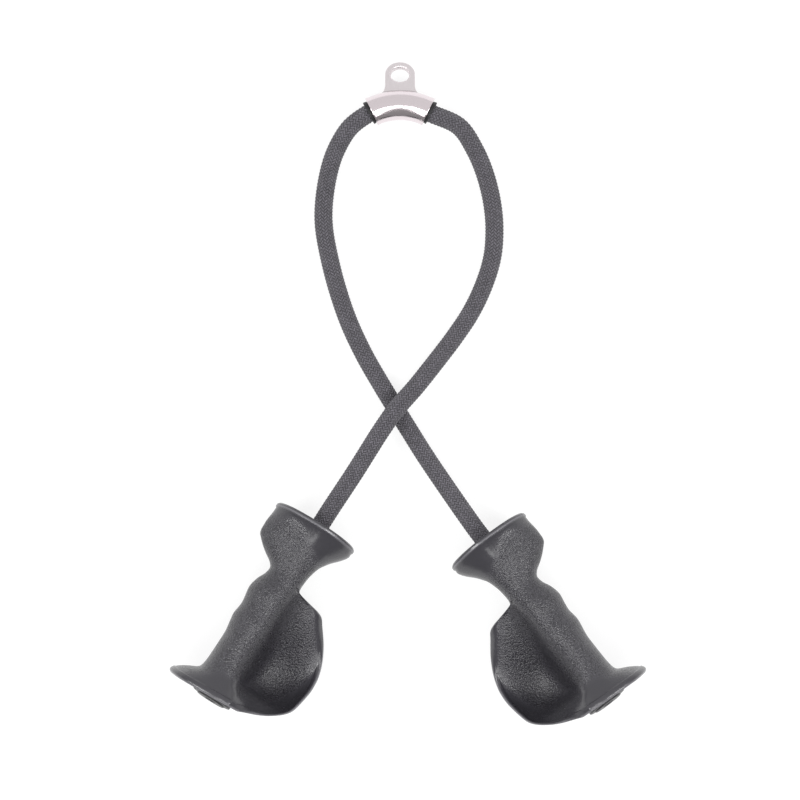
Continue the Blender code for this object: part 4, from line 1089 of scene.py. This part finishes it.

# %% [markdown]
# ## The finishes
# The rope is a matt charcoal yarn, lighter on the crowns of its floats, with painted shade in the
# gaps between them. The grips are black urethane: nearly black in itself, with most of its grey
# coming from the room in its satin surface, a little lighter where it is grained, with painted
# shade in the grain's hollows and a painted highlight along the crests of the lips. Each finish
# drifts a little in shade and gloss.

# %% Rope finish
braid, tree, shader = open_material(
    "braided_yarn", (0.10, 0.095, 0.11), 0.80, Sheen_Weight=0.25, Sheen_Roughness=0.5
)
woven = use_group(weave, UV=add("UVMap", {}, tree=tree, uv_map="UVMap"))
yarns = woven.out("Yarns")
# Painted shade: the colour goes nearly black in the gaps between the floats and is lighter on their
# crowns.
base = mix_colour(woven ** 0.8, (0.007, 0.0065, 0.0075), (0.132, 0.124, 0.144))
shade = (woven.out("Shade") * 0.35 + 0.82) * (yarns * 0.25 + 0.85)
tone = shade * drift_at(object_place(tree), 60.0, 0.25)
grey = add("CombineColor", {0: tone, 1: tone, 2: tone})
connect(mix_colour(1.0, base, grey, "MULTIPLY"), shader["Base Color"])
bump(shader, woven + yarns * 0.12, 0.8, 0.0005)
coat(braid, "braided_rope")
print(braid.name, "has", len(tree.nodes), "nodes")

# %% Grip finish
urethane, tree, shader = open_material(
    "black_urethane", (0.05, 0.048, 0.056), 0.30, Specular_IOR_Level=0.65
)
mask, painted_highlight_mask = (
    add("Attribute", {}, "Fac", tree, attribute_name=name) for name in ("grain", "rubbed")
)
place = object_place(tree)
pebbled = use_group(leather, Place=place, Scale=950.0, Mask=mask)
drift = drift_at(place, 45.0, 0.5)
connect((mask * 0.02 + 0.25) * drift, shader["Roughness"])
# Painted shade: the hollows between the grain's pebbles are darkened in the colour.
hollow = calculate("MINIMUM", pebbled.out("Hollow") * 1.2, 1.0)
crest = mix_colour(mask, (0.036, 0.0345, 0.041), (0.064, 0.0612, 0.072))
skin_tone = mix_colour(hollow, crest, (0.018, 0.017, 0.021))
# Painted highlight: the colour turns pale along the crests of the lips.
lip_tone = mix_colour(painted_highlight_mask * drift, skin_tone, (0.150, 0.146, 0.160))
connect(lip_tone, shader["Base Color"])
bump(shader, pebbled + noise(place, 260.0) * 0.25, 1.0, 0.00045)
coat(urethane, "left_moulded_grip", "right_moulded_grip")
print(urethane.name, "has", len(tree.nodes), "nodes")

# %% [markdown]
# The collar is polished and its tab only brushed, so both take the same hairlines at different
# strengths, along the tube and across the tab. Weld, sleeve and liner need no lines: one helper
# makes a finish that is mottled between two shades, and swings in gloss with them.


# %% Steel finishes
polished, tree, shader = open_material("polished_steel", (0.78, 0.705, 0.73), 0.16, 1.0)
place = object_place(tree)
connect(drift_at(place, 120.0, 0.6) * 0.16, shader["Roughness"])
bump(shader, use_group(brushing, Place=place, Stretch=(90.0, 2200.0, 2200.0)), 0.06, 0.0001)
coat(polished, "collar_tube")

satin, tree, shader = open_material("satin_steel", (0.62, 0.575, 0.585), 0.36, 1.0)
place = object_place(tree)
lines = use_group(brushing, Place=place, Stretch=(2600.0, 240.0, 240.0))
share = lines * drift_at(place, 90.0, 0.4)
connect(mix_colour(share, (0.74, 0.685, 0.70), (0.86, 0.805, 0.82)), shader["Base Color"])
connect(lines * 0.18 + 0.28, shader["Roughness"])
bump(shader, lines, 0.25, 0.0001)
coat(satin, "eye_tab")
print("steels:", polished.name, satin.name)


# %% Mottled finishes
def mottled(name, dark, light, gloss, metallic, scale, amount):
    """A finish whose colour goes from dark to light and whose roughness swings round `gloss`,
    both with the same drift. Also returns the shader's inputs and the place that it reads."""
    made, tree, shader = open_material(name, light, gloss, metallic)
    place = object_place(tree)
    drift = drift_at(place, scale, amount)
    connect(drift * gloss, shader["Roughness"])
    connect(mix_colour(drift, dark, light), shader["Base Color"])
    return made, shader, place


# Painted shade: the welds are darker than the tab, for the dark line where the tab meets the tube.
weld = mottled("weld_steel", (0.30, 0.28, 0.285), (0.50, 0.46, 0.47), 0.48, 1.0, 700.0, 0.8)[0]
coat(weld, "upper_weld", "lower_weld")
alloy = mottled("turned_alloy", (0.34, 0.34, 0.36), (0.42, 0.42, 0.44), 0.34, 1.0, 300.0, 0.5)[0]
coat(alloy, "left_sleeve_rim", "right_sleeve_rim")
rubber, shader, place = mottled(
    "liner_rubber", (0.008, 0.008, 0.009), (0.012, 0.012, 0.013), 0.55, 0.0, 500.0, 0.5
)
bump(shader, noise(place, 1500.0), 0.2, 0.0001)
coat(rubber, "liner_ring")
print("mottled:", weld.name, alloy.name, rubber.name)

# %% Nylon finish
nylon, tree, shader = open_material("plug_nylon", (0.016, 0.016, 0.018), 0.42)
place = object_place(tree)
connect(drift_at(place, 150.0, 0.4) * 0.42, shader["Roughness"])
bump(shader, use_group(leather, Place=place, Scale=1500.0, Mask=1.0), 0.15, 0.0002)
coat(nylon, "left_plug_disc", "right_plug_disc")
print(nylon.name, "has", len(tree.nodes), "nodes")

# %% [markdown]
# ## Fittings that keep their measured shape
# The washers and the crimped stops are shut inside the grips. Their frame shapes are already
# right, so they stay, and only get the finish of polished steel and of turned metal.

# %% Finishes on the frame's own pieces
for side in ("left", "right"):
    for node, finish in (("bearing_washer", polished), ("rope_ferrule", alloy)):
        for slot in frame["nodes"][f"{side}_{node}"].material_slots:
            slot.material = finish
print("materials:", sorted(made.name for made in bpy.data.materials if made.users))

# %% [markdown]
# ## Ground and light
# The object lies on a plain white table. Two soft lamps hang 2 m up on its left and right, and
# their light slides over the grips' flanks. Two long ones hang in front of it, and show as soft
# patches in the steel and on the grips. The room is pale on the far side and dim in front, which
# keeps the tops of the black forms dark. The ground is ordinary pale matt to all other light.
# Only where it is looked at, directly or in a reflection or through something, it is partly
# bright by itself, so it comes out white, and the shadows stay on it but stay faint.

# %% Ground
FLOOR_HALF, FLOOR_HEIGHT = 6.0, -0.0003
floor_mesh = bpy.data.meshes.new("ground")
corners = FLOOR_HALF * np.array([(-1, -1), (1, -1), (1, 1), (-1, 1)])
floor_mesh.from_pydata([(x, y, FLOOR_HEIGHT) for x, y in corners], [], [(0, 1, 2, 3)])
ground = in_scene("ground", floor_mesh)
pale, tree, shader = open_material(
    "pale_ground", (0.8, 0.8, 0.8), 1.0, Specular_IOR_Level=0.0, Emission_Color=(1.0, 1.0, 1.0)
)
ray = add("LightPath", {}, "Is Camera Ray", tree)
looked_at = calculate("MAXIMUM", ray, ray.out("Is Glossy Ray"))
looked_at = calculate("MAXIMUM", looked_at, ray.out("Is Transmission Ray"))
connect(mix_colour(looked_at, (0.80, 0.80, 0.80), (0.24, 0.24, 0.24)), shader["Base Color"])
connect(looked_at * 0.80, shader["Emission Strength"])
coat(pale, "ground")
print("ground:", 2 * FLOOR_HALF, "m wide")

# %% Lamps
AIM = Vector((0.0, -0.05, 0.0))


def soft_lamp(name, place, size, radiance):
    """A rectangular lamp that faces the object. Its power is its brightness times pi times its
    area."""
    data = bpy.data.lights.new(name, "AREA")
    data.shape, data.size, data.size_y = "RECTANGLE", *size
    data.energy = radiance * math.pi * size[0] * size[1]
    lamp = in_scene(name, data)
    lamp.location = place
    lamp.rotation_mode = "QUATERNION"
    lamp.rotation_quaternion = (AIM - Vector(place)).to_track_quat("-Z", "Y")
    print(name, round(data.energy, 1), "W")


for turned, label in ((-1, "left"), (1, "right")):
    soft_lamp(f"{label}_softbox", (1.6 * turned, -0.1, 2.0), (0.7, 0.9), 9.5)
    soft_lamp(f"{label}_front_softbox", (0.62 * turned, -0.98, 2.3), (0.7, 2.1), 3.6)

# %% Room
NEAR_SHADE, FAR_SHADE = 0.29, 0.81
world = bpy.data.worlds.new("room")
bpy.context.scene.world = world
world.use_nodes = True
tree = world.node_tree
tree.nodes.clear()
to_the_back = add("SeparateXYZ", {0: add("TexCoord", {}, "Generated", tree)}, 1)
given = {"Value": to_the_back, "From Min": -0.12, "From Max": 0.02}
given.update({"To Min": NEAR_SHADE, "To Max": FAR_SHADE})
shade = add("MapRange", given, interpolation_type="SMOOTHSTEP")
output = tree.nodes.new("ShaderNodeOutputWorld")
connect(add("Background", {"Color": shade}), output.inputs["Surface"])
bpy.context.scene.view_settings.view_transform = "Standard"
print("room:", NEAR_SHADE, "in front and", FAR_SHADE, "at the back")
